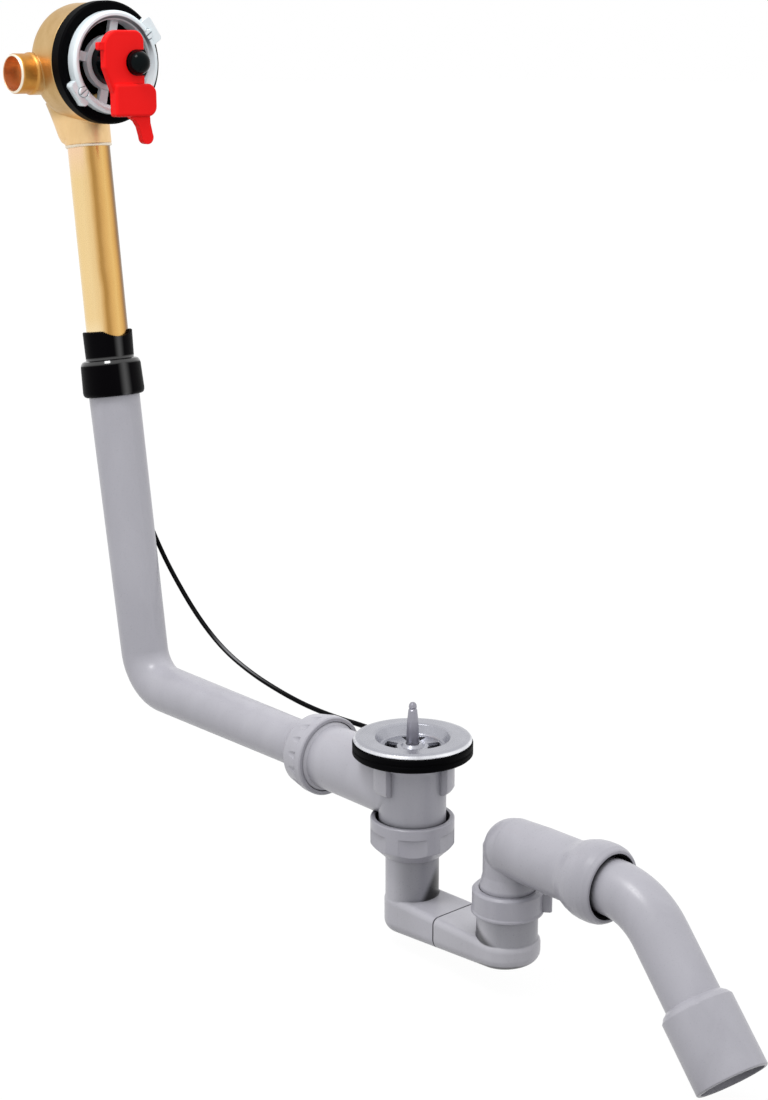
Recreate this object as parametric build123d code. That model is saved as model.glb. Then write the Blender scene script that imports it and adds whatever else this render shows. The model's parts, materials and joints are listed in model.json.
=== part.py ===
from build123d import *
from math import cos, sin, tan, radians, degrees, acos, sqrt
import os

# Frame: the origin is the centre of the waste hole on the bath surface, +Z up,
# +X from the overflow towards the outlet. All sizes in millimetres.

# Clearances between pieces
pipe_clearance = 0.3
thread_clearance = 0.2
push_clearance = 0.1
running_clearance = 0.06

# Waste flange and its seal
seal_radius = 35.6
flange_radius = seal_radius - 0.6
flange_height = 2.8
bowl_radius = 21.6
bowl_floor_radius = 18.4
bowl_floor_top = -3.2
bowl_floor_bottom = -5.2
flange_neck_radius = 22.4
flange_neck_bore = 18.6
flange_neck_step = -7.8
thread_neck_radius = 17.8
thread_neck_bore = 15.4
flange_neck_end = -24.0
spider_boss_radius = 7.0
spider_boss_bottom = -12.0
spider_boss_top = -1.6
window_inner_radius = 9.4
window_outer_radius = 16.6
window_angle = 52.0
seal_bottom = -8.0

# Tee under the bath
collar_radius = 25.0
collar_bottom = -12.6
lug_bottom = -30.0
lug_half_angle = 14.0
lug_angles = (-95.0, 25.0, 145.0)
body_radius = 20.0
body_bore = 17.0
body_end = -61.5
socket_shoulder = -46.0
thread_radius = 22.0
thread_length = 12.5
trap_thread_length = 8.0
branch_height = -31.3
run_fall = 0.7
branch_end = 88.0
branch_shoulder = 40.0
branch_bore = 12.9

# Standard waste pipe
pipe_radius = 16.0
pipe_bore = 14.0
socket_radius = pipe_radius + pipe_clearance
spigot_radius = 14.9
spigot_bore = 12.9
spigot_socket = spigot_radius + pipe_clearance

# Nut under the tee
trap_nut_top = -47.0
trap_nut_radius = 25.0
trap_nut_shoulder = -63.2
trap_nut_end = -70.4
nut_turn = -42.0

# Nut on the branch, distances along the branch from the waste axis
branch_nut_start = 75.0
branch_nut_radius = 25.0
branch_nut_end = 101.0

# Overflow pipe
corner_distance = 268.0
leg_lean = 8.65
heel_radius = 27.0
overflow_pipe_inset = 52.0
overflow_pipe_top = 219.0
leg_top_radius = 17.2
pipe_wall = 2.0
taper_start = 113.0

# Stepped sleeve between overflow pipe and riser tube, distances up the leg
sleeve_bottom = 198.0
sleeve_step = 222.5
sleeve_top = 241.7
sleeve_lower_radius = 20.7
sleeve_upper_radius = 16.1
sleeve_flare = 0.5
saddle_radius = 20.0
saddle_depth = 4.0
saddle_turn = -72.0
sleeve_kink = 221.0

# Riser tube, distances up the tube from the kink in the sleeve
tube_lean = 6.8
tube_radius = 14.0
tube_bore = 12.9
tube_bottom = 0.6
head_distance = 196.9

# Overflow casting
head_tilt = 0.0
drum_radius = 38.0
drum_front = 25.0
drum_back = -5.5
drum_rounding = 9.0
drum_bore = 30.0
chamber_back = 1.0
rear_boss_radius = 12.5
rear_boss_bore = 10.6
rear_boss_end = -32.0
neck_radius = 15.3
neck_swell_radius = 15.8
neck_swell_offset = -6.0
neck_end = -53.5
neck_socket_top = -34.0
stub_radius = 12.7
stub_bore = 11.0
stub_end = -52.0
stub_drop = 6.9
gallery_radius = 9.5
gallery_bore = 6.5
gallery_offset = -19.0
gland_relief_radius = 5.7

# Overflow seal, clamp ring, screws
ring_seal_radius = 38.9
ring_seal_bore = 28.8
ring_seal_front = 35.0
clamp_radius = 32.7
clamp_bore = 28.6
clamp_front = 43.0
web_back = 29.5
web_front = 33.0
web_hub_radius = 17.5
spoke_width = 6.0
spoke_turn = 78.0
screw_circle = 31.4
screw_angle = 215.0
screw_radius = 2.0
screw_head_radius = 3.3

# Bush, spindle and guard
bush_radius = 14.0
bush_back = 26.5
bush_front = 59.0
spindle_radius = 6.6
spindle_ball_radius = 7.6
spindle_neck_radius = 5.2
spindle_ball_centre = 66.3
spindle_stem_radius = 4.0
spindle_tail_radius = 3.0
spindle_end = -30.0
guard_left_edge = -24.0
guard_right_edge = 6.2
guard_top = 20.0
guard_left_rounding = 11.0
guard_right_rounding = 7.0
guard_ear_tip = -27.6
guard_ear_low = 7.6
guard_ear_high = 12.6
guard_hole = spindle_ball_radius + 0.4
guard_back = 59.5
guard_front = 64.5
guard_block_front = 67.0
guard_block_left = -17.6
guard_block_right = 13.7
guard_block_top = -13.0
guard_block_bottom = -33.5
guard_tail_end = -51.0
guard_tail_width = 9.0
tail_middle = 7.0

# Cable drive
turn_angle = 90.0
rocker_swing = 22.0
lever_height = 15.0
wire_travel = 2 * lever_height * tan(radians(rocker_swing))
pulley_wrap_radius = wire_travel / radians(turn_angle)
wire_radius = 0.75
pulley_middle = -26.0
cable_radius = 1.6

# Rocker in the tee
rocker_x = -13.5
rocker_z = -32.0
rocker_radius = 2.5
finger_length = 13.5
finger_nose = 2.5
lever_middle = 28.0
lever_thickness = 4.6
nipple_radius = 2.0
wire_z = rocker_z + lever_height

# Lift pin
pin_radius = 3.8
pin_tip = 23.7
pin_foot = rocker_z - finger_length * sin(radians(rocker_swing)) + finger_nose + 0.35

# Trap
riser_x = 79.5
trap_top = -95.5
trap_low = -119.0
trap_high = -112.0
trap_wall = 2.4
trap_inlet_half = 16.6
trap_outlet_half = 19.2
trap_seam = 37.0
seam_half_gap = 0.45
trap_shoulder = 4.0
riser_radius = 17.6
riser_top = -70.5
riser_nut_radius = 20.2
riser_nut_top = -66.5
riser_nut_bottom = -81.0

# Outlet elbow and bend
elbow_z = -41.3
elbow_radius = 17.5
elbow_bore = 14.6
bulb_radius = 16.8
bulb_offset = 4.0
waist_radius = 14.4
elbow_spigot_end = -90.0
outlet_socket_radius = 22.4
outlet_socket_end = 157.5
outlet_socket_shoulder = 122.0
outlet_pipe_radius = 15.6
outlet_pipe_bore = 13.6
outlet_pipe_socket = outlet_pipe_radius + pipe_clearance
bend_corner_x = 178.8
bend_angle = 45.8
bend_roll = 8.0
bend_radius = 48.0
bend_length = 102.0
outlet_end_radius = 20.0
outlet_end_bore = 18.0
outlet_end_length = 40.9

# Directions and frames of the leaning parts
branch_along = Vector(-cos(radians(run_fall)), 0, sin(radians(run_fall)))
leg_up = Vector(-sin(radians(leg_lean)), 0, cos(radians(leg_lean)))
leg_out = Vector(cos(radians(leg_lean)), 0, sin(radians(leg_lean)))
tube_up = Vector(-sin(radians(tube_lean)), 0, cos(radians(tube_lean)))
tube_out = Vector(cos(radians(tube_lean)), 0, sin(radians(tube_lean)))
head_up = Vector(-sin(radians(head_tilt)), 0, cos(radians(head_tilt)))
head_out = Vector(cos(radians(head_tilt)), 0, sin(radians(head_tilt)))
branch_origin = Vector(0, 0, branch_height)
corner = branch_origin + branch_along * corner_distance
kink = corner + leg_up * sleeve_kink
head_centre = kink + tube_up * head_distance
leg_frame = Plane(origin=corner, x_dir=leg_out, z_dir=leg_up)
tube_frame = Plane(origin=kink, x_dir=tube_out, z_dir=tube_up)
neck_frame = Plane(origin=head_centre, x_dir=tube_out, z_dir=tube_up)
head_frame = Plane(origin=head_centre, x_dir=(0, 1, 0), z_dir=head_out)
branch_frame = Plane(origin=branch_origin, x_dir=(0, 1, 0), z_dir=branch_along)
outlet_frame = Plane(origin=(0, 0, elbow_z), x_dir=(0, 1, 0), z_dir=(1, 0, 0))
rocker_frame = Plane(origin=(rocker_x, 0, rocker_z), x_dir=(1, 0, 0), z_dir=(0, -1, 0))


# Solid of revolution about Z from an outline of (radius, height) points
def turned(*points):
    outline = Polyline(*[(radius, 0, height) for radius, height in points], close=True)
    return revolve(make_face(outline), Axis.Z)


# Round bar between two heights
def bar(radius, low, high):
    return Pos(0, 0, low) * Cylinder(radius, high - low, align=(Align.CENTER, Align.CENTER, Align.MIN))


# Round tube between two heights
def tube(outer, inner, low, high):
    return bar(outer, low, high) - bar(inner, low - 1, high + 1)


# Block between two corners
def block(low, high):
    size = [b - a for a, b in zip(low, high)]
    middle = [(a + b) / 2 for a, b in zip(low, high)]
    return Pos(*middle) * Box(*size)


# Round bar along a path of edges
def swept(path, radius):
    section = Plane(origin=path @ 0, z_dir=path % 0) * Circle(radius)
    return sweep(section, path)


# Largest solid of a shape, so that a node is one solid
def single(shape):
    solids = shape.solids()
    return max(solids, key=lambda solid: solid.volume)


# Path of straight runs joined by tangent arcs
def smooth_path(points, share=0.45):
    points = [Vector(*point) for point in points]
    edges = []
    start = points[0]
    for before, here, after in zip(points, points[1:], points[2:]):
        back = (before - here)
        onward = (after - here)
        reach = share * min(back.length, onward.length)
        back_unit = back.normalized()
        onward_unit = onward.normalized()
        turn = acos(max(-1.0, min(1.0, -back_unit.dot(onward_unit))))
        if turn < 0.002:
            continue
        first = here + back_unit * reach
        last = here + onward_unit * reach
        radius = reach / tan(turn / 2)
        inward = (back_unit + onward_unit).normalized()
        middle = here + inward * (radius / cos(turn / 2) - radius)
        edges.append(Edge.make_line(start, first))
        edges.append(Edge.make_three_point_arc(first, middle, last))
        start = last
    edges.append(Edge.make_line(start, points[-1]))
    return Wire(edges)


# Flutes cut along a nut
def fluted(nut, count, circle, radius, low, high):
    flute = Pos(circle, 0, 0) * bar(radius, low, high)
    for step in range(count):
        nut = nut - Rot(0, 0, (step + 0.5) * 360 / count) * flute
    return nut


# Cone ring that a union nut presses on to a pipe
def cone_seal(bore, wide, narrow, low, high):
    return turned((bore, low), (narrow, low), (wide, high - 1.5), (wide, high), (bore, high))


def make_waste_flange():
    body = turned(
        (thread_neck_bore, flange_neck_end), (thread_neck_radius, flange_neck_end),
        (thread_neck_radius, flange_neck_step), (flange_neck_radius, flange_neck_step),
        (flange_neck_radius, 0), (flange_radius - 0.5, 0), (flange_radius, 0.6), (flange_radius, 1.2), (flange_radius - 0.7, 2.1),
        (flange_radius - 3.5, flange_height), (bowl_radius + 2.2, flange_height), (bowl_radius + 0.6, 2.2),
        (bowl_radius, 1.2), (bowl_floor_radius + 0.8, bowl_floor_top + 0.5),
        (bowl_floor_radius, bowl_floor_top),
        (0, bowl_floor_top), (0, bowl_floor_bottom), (flange_neck_bore, bowl_floor_bottom),
        (thread_neck_bore, bowl_floor_bottom + thread_neck_bore - flange_neck_bore))
    body = body + turned(
        (0, spider_boss_bottom), (spider_boss_radius - 1, spider_boss_bottom),
        (spider_boss_radius, bowl_floor_bottom), (spider_boss_radius, bowl_floor_top),
        (spider_boss_radius - 1.4, spider_boss_top), (0, spider_boss_top))
    window = tube(window_outer_radius, window_inner_radius, bowl_floor_bottom - 1, bowl_floor_top + 1)
    half = radians(window_angle / 2)
    far = 30.0
    wedge = extrude(make_face(Polyline(
        (0, 0), (far * cos(half), far * sin(half)),
        (far * cos(half), -far * sin(half)), close=True)), 20, both=True)
    slot = window & wedge
    for quarter in range(4):
        body = body - Rot(0, 0, 45 + 90 * quarter) * slot
    body = body - bar(pin_radius + pipe_clearance, spider_boss_bottom - 1, spider_boss_top + 1)
    return single(body)


def make_waste_seal():
    return turned(
        (flange_neck_radius + 0.4, seal_bottom), (seal_radius - 0.8, seal_bottom),
        (seal_radius, seal_bottom + 0.8),
        (seal_radius, -4.6), (seal_radius - 0.5, -4.2), (seal_radius - 0.5, -3.4), (seal_radius, -3.0),
        (seal_radius, -0.6), (seal_radius - 0.6, 0), (flange_neck_radius + 0.4, 0))


def make_waste_body():
    outer = turned(
        (0, body_end), (thread_radius, body_end), (thread_radius, body_end + trap_thread_length),
        (body_radius, body_end + trap_thread_length + 1.5), (body_radius, collar_bottom - 2.4),
        (body_radius + 0.8, collar_bottom - 1.0), (collar_radius - 0.8, collar_bottom),
        (collar_radius, collar_bottom + 0.8),
        (collar_radius, seal_bottom), (0, seal_bottom))
    branch = branch_frame * turned(
        (0, 0), (body_radius, 0), (body_radius, branch_end - thread_length - 1.5),
        (thread_radius, branch_end - thread_length), (thread_radius, branch_end), (0, branch_end))
    body = outer + branch
    body = body - tube(
        trap_nut_radius + 0.4, body_radius, body_end + trap_thread_length + 1.5, trap_nut_top + 0.3)
    half = radians(lug_half_angle)
    far = 40.0
    wedge = extrude(make_face(Polyline(
        (0, 0), (far * cos(half), far * sin(half)),
        (far * cos(half), -far * sin(half)), close=True)), far, both=True)
    lug = turned(
        (body_radius - 1, seal_bottom - 1), (body_radius - 1, lug_bottom),
        (collar_radius - 2.8, lug_bottom + 0.4), (collar_radius - 1, lug_bottom + 1.3),
        (collar_radius, lug_bottom + 3), (collar_radius, seal_bottom - 1)) & wedge
    for angle in lug_angles:
        body = body + Rot(0, 0, angle) * lug
    bracket = block((-46, 14, wire_z - 6.5), (-34, lever_middle + 6.5, wire_z + 6.5))
    bracket = fillet(bracket.edges().filter_by(Axis.X).sort_by(Axis.Y)[-2:], 5.5)
    body = body + bracket
    shaft_boss = Plane(origin=(rocker_x, 0, rocker_z), z_dir=(0, 1, 0)) * bar(6.0, 12, 24.6)
    body = body + shaft_boss
    body = body - bar(thread_neck_radius + thread_clearance, flange_neck_end - 1, seal_bottom + 1)
    body = body - bar(body_bore, socket_shoulder, seal_bottom)
    body = body - bar(socket_radius, body_end - 1, socket_shoulder + 1)
    body = body - branch_frame * bar(branch_bore, 0, branch_end + 1)
    body = body - branch_frame * bar(spigot_socket, branch_shoulder, branch_end + 1)
    shaft_hole = Plane(origin=(rocker_x, 0, rocker_z), z_dir=(0, 1, 0)) * bar(
        rocker_radius + running_clearance, -17.4, 40)
    body = body - shaft_hole
    gland_hole = Plane(origin=(0, lever_middle, wire_z), z_dir=(-1, 0, 0)) * bar(3.7, 30, 50)
    body = body - gland_hole
    return single(body)


def make_trap_nut():
    nut = turned(
        (thread_radius + thread_clearance, trap_nut_top), (trap_nut_radius - 0.7, trap_nut_top),
        (trap_nut_radius, trap_nut_top - 0.7), (trap_nut_radius, trap_nut_shoulder),
        (trap_nut_radius - 1.2, trap_nut_shoulder - 1.2), (18.2, trap_nut_end + 0.6), (17.5, trap_nut_end),
        (socket_radius, trap_nut_end), (socket_radius, trap_nut_end + 1.6), (20.4, body_end - 1.6),
        (thread_radius + thread_clearance, body_end - 1.4))
    panel = block((23.4, -8.6, -90), (40, 8.6, trap_nut_top - 6.5))
    for step in range(6):
        nut = nut - Rot(0, 0, nut_turn + 60 * step) * panel
    return single(nut)


def make_trap_cone_seal():
    return cone_seal(pipe_radius + push_clearance, 20.2, 16.9, trap_nut_end + 2.8, body_end - 0.1)


def make_overflow_nut():
    start = branch_nut_start
    end = branch_nut_end
    nut = turned(
        (thread_radius + thread_clearance, start), (branch_nut_radius - 0.8, start),
        (branch_nut_radius, start + 0.8),
        (branch_nut_radius, start + 6), (22.6, end - 8), (17.6, end - 2), (16.4, end), (spigot_socket, end),
        (spigot_socket, end - 2.0), (19.0, branch_end + 3.5), (19.0, branch_end + 1.6),
        (thread_radius + thread_clearance, branch_end + 1.4))
    return single(branch_frame * fluted(nut, 16, branch_nut_radius + 1.2, 2.6, start + 5.0, end + 5))


def make_overflow_cone_seal():
    ring = turned(
        (spigot_radius + push_clearance, branch_end + 0.1), (18.8, branch_end + 0.1),
        (18.8, branch_end + 3.2),
        (15.75, branch_nut_end - 3.5), (spigot_radius + push_clearance, branch_nut_end - 3.5))
    return branch_frame * ring


def make_overflow_pipe():
    turn = acos(branch_along.dot(leg_up))
    reach = heel_radius * tan(turn / 2)
    first = corner - branch_along * reach
    last = corner + leg_up * reach
    inward = (leg_up - branch_along).normalized()
    middle = corner + inward * (heel_radius / cos(turn / 2) - heel_radius)
    heel = Edge.make_three_point_arc(first, middle, last)
    run_end = corner_distance - reach
    solids = []
    for inset in (0.0, pipe_wall):
        over = 0.0 if inset == 0.0 else 1.0
        run = branch_frame * turned(
            (0, overflow_pipe_inset - over), (spigot_radius - inset, overflow_pipe_inset - over),
            (spigot_radius - inset, taper_start), (pipe_radius - inset, run_end), (0, run_end))
        leg = leg_frame * turned(
            (0, reach), (pipe_radius - inset, reach), (leg_top_radius - inset, overflow_pipe_top + over),
            (0, overflow_pipe_top + over))
        solids.append(run + swept(Wire([heel]), pipe_radius - inset) + leg)
    return single(solids[0] - solids[1])


def make_coupling_sleeve():
    low = sleeve_bottom
    step = sleeve_step
    neck_top = sleeve_top - sleeve_kink
    cup = turned(
        (0, low), (sleeve_lower_radius - 2.2, low), (sleeve_lower_radius - 0.9, low + 0.7),
        (sleeve_lower_radius - 0.2, low + 2.0), (sleeve_lower_radius, low + 3.4),
        (sleeve_lower_radius - 0.5, step - 4.2),
        (sleeve_lower_radius - 0.9, step - 2.2), (sleeve_lower_radius - 1.9, step - 0.7),
        (sleeve_lower_radius - 3.4, step),
        (0, step))
    collar = turned(
        (0, -2), (sleeve_upper_radius, -2), (sleeve_upper_radius + sleeve_flare, neck_top - 0.6),
        (sleeve_upper_radius + sleeve_flare - 0.6, neck_top), (0, neck_top))
    sleeve = leg_frame * cup + tube_frame * collar
    pipe_hole = turned(
        (0, low - 1), (leg_top_radius + push_clearance, low - 1),
        (leg_top_radius + push_clearance, overflow_pipe_top + 0.2), (0, overflow_pipe_top + 0.2))
    sleeve = sleeve - leg_frame * pipe_hole - tube_frame * bar(
        tube_radius + push_clearance, tube_bottom - 0.2, 60)
    sleeve = sleeve - tube_frame * bar(tube_bore, -10, 60)
    saddle = Pos(0, 0, neck_top + saddle_radius - saddle_depth) * Rot(0, 90, saddle_turn) * Cylinder(
        saddle_radius, 60)
    return single(sleeve - tube_frame * saddle)


def make_riser_tube():
    return tube_frame * tube(tube_radius, tube_bore, tube_bottom, head_distance + neck_socket_top - 0.3)


def make_overflow_body():
    edge = drum_rounding
    drum = turned(
        (0, drum_back), (drum_radius - edge, drum_back),
        (drum_radius - 0.617 * edge, drum_back + 0.076 * edge),
        (drum_radius - 0.293 * edge, drum_back + 0.293 * edge),
        (drum_radius - 0.076 * edge, drum_back + 0.617 * edge),
        (drum_radius, drum_back + edge), (drum_radius, drum_front - 1.0),
        (drum_radius - 1.0, drum_front), (0, drum_front))
    rear = turned(
        (0, rear_boss_end), (rear_boss_radius, rear_boss_end), (rear_boss_radius, drum_back - 3),
        (rear_boss_radius + 3, drum_back + 1), (0, drum_back + 1))
    neck = turned(
        (0, neck_end), (neck_radius - 0.8, neck_end), (neck_radius, neck_end + 0.8),
        (neck_radius, neck_end + 29),
        (0, neck_end + 29))
    swell = turned(
        (0, neck_end + 1.2), (11.6, neck_end + 1.2), (neck_swell_radius - 1.6, neck_end + 3.4),
        (neck_swell_radius, neck_end + 7), (neck_swell_radius + 1.8, neck_end + 14),
        (neck_swell_radius + 4.0, neck_end + 22),
        (neck_swell_radius + 6.2, neck_end + 29), (0, neck_end + 29))
    neck = neck + Pos(neck_swell_offset, 0, 0) * swell
    stub_frame = Plane(origin=head_centre - Vector(0, 0, stub_drop), x_dir=(1, 0, 0), z_dir=(0, -1, 0))
    stub = stub_frame * turned(
        (0, 20), (stub_radius + 0.8, 20), (stub_radius + 0.8, drum_radius + 1.5),
        (stub_radius, drum_radius + 3),
        (stub_radius, -stub_end - 1.6), (stub_radius - 1.2, -stub_end), (0, -stub_end))
    body = head_frame * drum + head_frame * rear + neck_frame * neck + stub
    chamber = turned(
        (0, chamber_back), (drum_bore - 4, chamber_back), (drum_bore - 1.2, chamber_back + 1.2),
        (drum_bore, chamber_back + 4), (drum_bore, drum_front + 1), (0, drum_front + 1))
    inside = Pos(gallery_offset, -stub_drop, 0) * bar(gallery_radius, chamber_back - 1, drum_front)
    for angle in (screw_angle, screw_angle - 180):
        inside = inside + Rot(0, 0, angle) * Pos(screw_circle, 0, 0) * bar(4.6, chamber_back - 1, drum_front)
    core = bar(drum_bore + 1, chamber_back - 1, drum_front)
    body = body - head_frame * (chamber - (inside & core))
    body = body - neck_frame * bar(tube_radius + push_clearance, neck_end - 1, neck_socket_top)
    body = body - neck_frame * bar(tube_bore, neck_socket_top - 1, -20)
    body = body - neck_frame * Pos(6, 0, 0) * bar(8, -34, -16)
    body = body - head_frame * Pos(gallery_offset, -stub_drop, 0) * bar(gallery_bore, -1.5, drum_front + 1)
    body = body - stub_frame * bar(stub_bore, -stub_end - 15, -stub_end + 1)
    body = body - stub_frame * bar(gallery_bore - 1, -gallery_offset, -stub_end)
    body = body - head_frame * bar(rear_boss_bore, rear_boss_end - 1, drum_back - 14.5)
    body = body - head_frame * bar(spindle_stem_radius + running_clearance, rear_boss_end, drum_front)
    for angle in (screw_angle, screw_angle - 180):
        hole = Rot(0, 0, angle) * Pos(screw_circle, 0, 0) * bar(screw_radius + 0.05, 9, drum_front + 1)
        body = body - head_frame * hole
    gland_hole = bar(3.1, 2, 20) + bar(gland_relief_radius, rear_boss_radius + 0.5, 42)
    gland_hole = Pos(pulley_wrap_radius, 0, pulley_middle) * Rot(90, 0, 0) * gland_hole
    body = body - head_frame * gland_hole
    return single(body)


def make_rear_cap():
    cap = turned(
        (0, rear_boss_end - 2.4), (rear_boss_radius - 0.8, rear_boss_end - 2.4),
        (rear_boss_radius, rear_boss_end - 1.6), (rear_boss_radius, rear_boss_end),
        (rear_boss_bore - push_clearance, rear_boss_end),
        (rear_boss_bore - push_clearance, rear_boss_end + 1.4),
        (0, rear_boss_end + 1.4))
    slot = block((-9, -0.8, rear_boss_end - 3), (9, 0.8, rear_boss_end - 1.3))
    return single(head_frame * (cap - slot))


def make_overflow_seal():
    ring = turned(
        (ring_seal_bore, drum_front), (ring_seal_radius - 1.2, drum_front),
        (ring_seal_radius, drum_front + 1.2),
        (ring_seal_radius, ring_seal_front - 1.2), (ring_seal_radius - 1.2, ring_seal_front),
        (ring_seal_bore, ring_seal_front))
    for angle in (screw_angle, screw_angle - 180):
        ring = ring - Rot(0, 0, angle) * Pos(screw_circle, 0, 0) * bar(screw_radius + 0.5, 0, 60)
    return single(head_frame * ring)


def make_clamp_ring():
    rim = turned(
        (clamp_bore - 1.6, web_back), (clamp_bore + 0.0, web_back), (clamp_bore + 0.0, ring_seal_front),
        (clamp_radius - 0.6, ring_seal_front), (clamp_radius, ring_seal_front + 0.6),
        (clamp_radius, clamp_front - 1.6), (clamp_radius - 1.6, clamp_front), (clamp_bore + 1.0, clamp_front),
        (clamp_bore - 0.6, clamp_front - 1.6), (clamp_bore - 1.6, clamp_front - 3.0))
    ring = rim + tube(web_hub_radius, bush_radius + push_clearance, web_back, web_front + 1.5)
    for angle in (0, 90, 180, 270):
        spoke = block(
            (web_hub_radius - 1, -spoke_width / 2, web_back), (clamp_bore - 1, spoke_width / 2, web_front))
        ring = ring + Rot(0, 0, angle + spoke_turn) * spoke
    for angle, reach in ((screw_angle, 36.5), (screw_angle - 180, 39.2)):
        lug = block((clamp_radius - 3.6, -8.5, ring_seal_front), (reach, 8.5, clamp_front - 2.0))
        lug = fillet(lug.edges().filter_by(Axis.Z).sort_by(Axis.X)[-2:], 2.0)
        ring = ring + Rot(0, 0, angle) * lug
    for angle in (screw_angle, screw_angle - 180):
        hole = bar(screw_radius + 0.3, 20, 60) + bar(screw_head_radius + 0.25, clamp_front - 2.6, 60)
        ring = ring - Rot(0, 0, angle) * Pos(screw_circle, 0, 0) * hole
    return single(head_frame * ring)


def make_clamp_screws():
    screws = []
    top = clamp_front - 2.6
    for angle in (screw_angle, screw_angle - 180):
        screw = turned(
            (0, 12), (screw_radius - 0.5, 12), (screw_radius, 12.5), (screw_radius, top),
            (screw_head_radius, top),
            (screw_head_radius, top + 1.6), (screw_head_radius - 0.5, top + 2.1), (0, top + 2.1))
        screw = screw - block((-5, -0.45, top + 0.9), (5, 0.45, top + 4))
        screws.append(head_frame * (Rot(0, 0, angle) * Pos(screw_circle, 0, 0) * screw))
    return Compound(children=screws)


def make_spindle_bush():
    bush = turned(
        (spindle_radius + running_clearance, bush_back), (web_hub_radius - 0.5, bush_back),
        (web_hub_radius - 0.5, web_back), (bush_radius, web_back), (bush_radius, bush_front - 1.0),
        (bush_radius - 1.0, bush_front), (spindle_radius + running_clearance, bush_front))
    return single(head_frame * bush)


def make_control_spindle():
    ball = Pos(0, 0, spindle_ball_centre) * Sphere(spindle_ball_radius)
    spindle = turned(
        (0, spindle_end), (spindle_tail_radius - 0.4, spindle_end), (spindle_tail_radius, spindle_end + 0.4),
        (spindle_tail_radius, pulley_middle + 4), (spindle_stem_radius, pulley_middle + 4),
        (spindle_stem_radius, -12.6), (spindle_stem_radius - 1.1, -12.6), (spindle_stem_radius - 1.1, -10.8),
        (spindle_stem_radius, -10.8), (spindle_stem_radius, bush_back - 2.5),
        (spindle_radius, bush_back - 0.5),
        (spindle_radius, guard_back + 1), (spindle_neck_radius, guard_back + 1.5),
        (spindle_neck_radius, spindle_ball_centre - 3),
        (0, spindle_ball_centre - 3))
    return single(head_frame * (spindle + ball))


def make_spindle_seal():
    ring = turned(
        (spindle_stem_radius - 1.0, -12.4), (spindle_stem_radius - 0.3, -12.4), (spindle_stem_radius, -12.1),
        (spindle_stem_radius, -11.3), (spindle_stem_radius - 0.3, -11.0), (spindle_stem_radius - 1.0, -11.0))
    return head_frame * ring


def make_cable_pulley():
    middle = pulley_middle
    groove = pulley_wrap_radius - wire_radius - 0.35
    pulley = turned(
        (spindle_tail_radius + 0.03, middle - 3.6), (9.6, middle - 3.6), (9.6, middle - 2.6),
        (groove, middle - 1.2),
        (groove, middle + 1.2), (9.6, middle + 2.6), (9.6, middle + 3.6),
        (spindle_tail_radius + 0.03, middle + 3.6))
    return single(head_frame * pulley)


def make_fitting_guard():
    outline = Polyline(
        (guard_block_left, guard_block_top - 6), (guard_left_edge, -3), (guard_left_edge, guard_top),
        (guard_right_edge, guard_top), (guard_right_edge, guard_block_top - 6), close=True)
    plate = extrude(make_face(outline), guard_front - guard_back)
    uprights = plate.edges().filter_by(Axis.Z).sort_by(Axis.Y)[-2:].sort_by(Axis.X)
    plate = fillet(uprights[:1], guard_left_rounding)
    uprights = plate.edges().filter_by(Axis.Z).sort_by(Axis.X)[-2:].sort_by(Axis.Y)
    plate = fillet(uprights[-1:], guard_right_rounding)
    plate = Pos(0, 0, guard_back) * fillet(plate.faces().sort_by(Axis.Z)[-1].edges(), 1.2)
    lower = block(
        (guard_block_left, guard_block_bottom, guard_back),
        (guard_block_right, guard_block_top, guard_block_front))
    right_edges = lower.edges().filter_by(Axis.Z).sort_by(Axis.X)[-2:]
    lower = fillet(right_edges, 6.5)
    lower = fillet(lower.edges().filter_by(Axis.Z).sort_by(Axis.X)[:2], 2.0)
    lower = fillet(lower.faces().sort_by(Axis.Z)[-1].edges(), 1.8)
    half = guard_tail_width / 2
    low = guard_block_bottom
    tail = make_face(Polyline(
        (-9.5, low + 2), (-5.0, low - 0.8), (-1.8, low - 3.0), (0.6, low - 6.5),
        (tail_middle - half, guard_tail_end + half),
        (tail_middle + half, guard_tail_end + half), (9.4, low - 4.0), (9.2, low + 2), close=True))
    tail = Pos(0, 0, guard_back + 0.6) * extrude(tail, guard_front - guard_back - 0.6)
    tail = tail + Pos(tail_middle, guard_tail_end + half, 0) * bar(half, guard_back + 0.6, guard_front)
    ear = block((guard_ear_tip, guard_ear_low, guard_back), (-18, guard_ear_high, guard_front - 0.8))
    ear = fillet(ear.edges().filter_by(Axis.Z).sort_by(Axis.X)[:2], 1.4)
    grip = tube(bush_radius + 1.9, bush_radius + push_clearance, guard_back - 8, guard_back + 0.5)
    grip = grip - block((guard_right_edge, -40, guard_back - 10), (40, 40, guard_back + 1))
    upper = plate + ear + grip
    hole = bar(guard_hole, guard_back - 10, guard_block_front + 5)
    slot = block((0, -guard_hole, guard_back - 10), (40, guard_hole, guard_block_front + 5))
    guard = upper + lower + tail - hole - slot
    return single(head_frame * guard)


def make_head_gland():
    gland = turned(
        (1.1, 8.6), (3.0, 8.6), (3.0, 13.2), (5.2, 13.2), (5.2, 19), (3.7, 20), (3.7, 36), (3.1, 36.8),
        (cable_radius + push_clearance, 36.8), (cable_radius + push_clearance, 26), (1.1, 26))
    placed = Pos(pulley_wrap_radius, 0, pulley_middle) * Rot(90, 0, 0) * gland
    return single(head_frame * placed)


def make_head_wire():
    wire = Pos(pulley_wrap_radius, 0, pulley_middle) * Rot(90, 0, 0) * bar(wire_radius, -0.5, 25.8)
    return head_frame * wire


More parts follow.
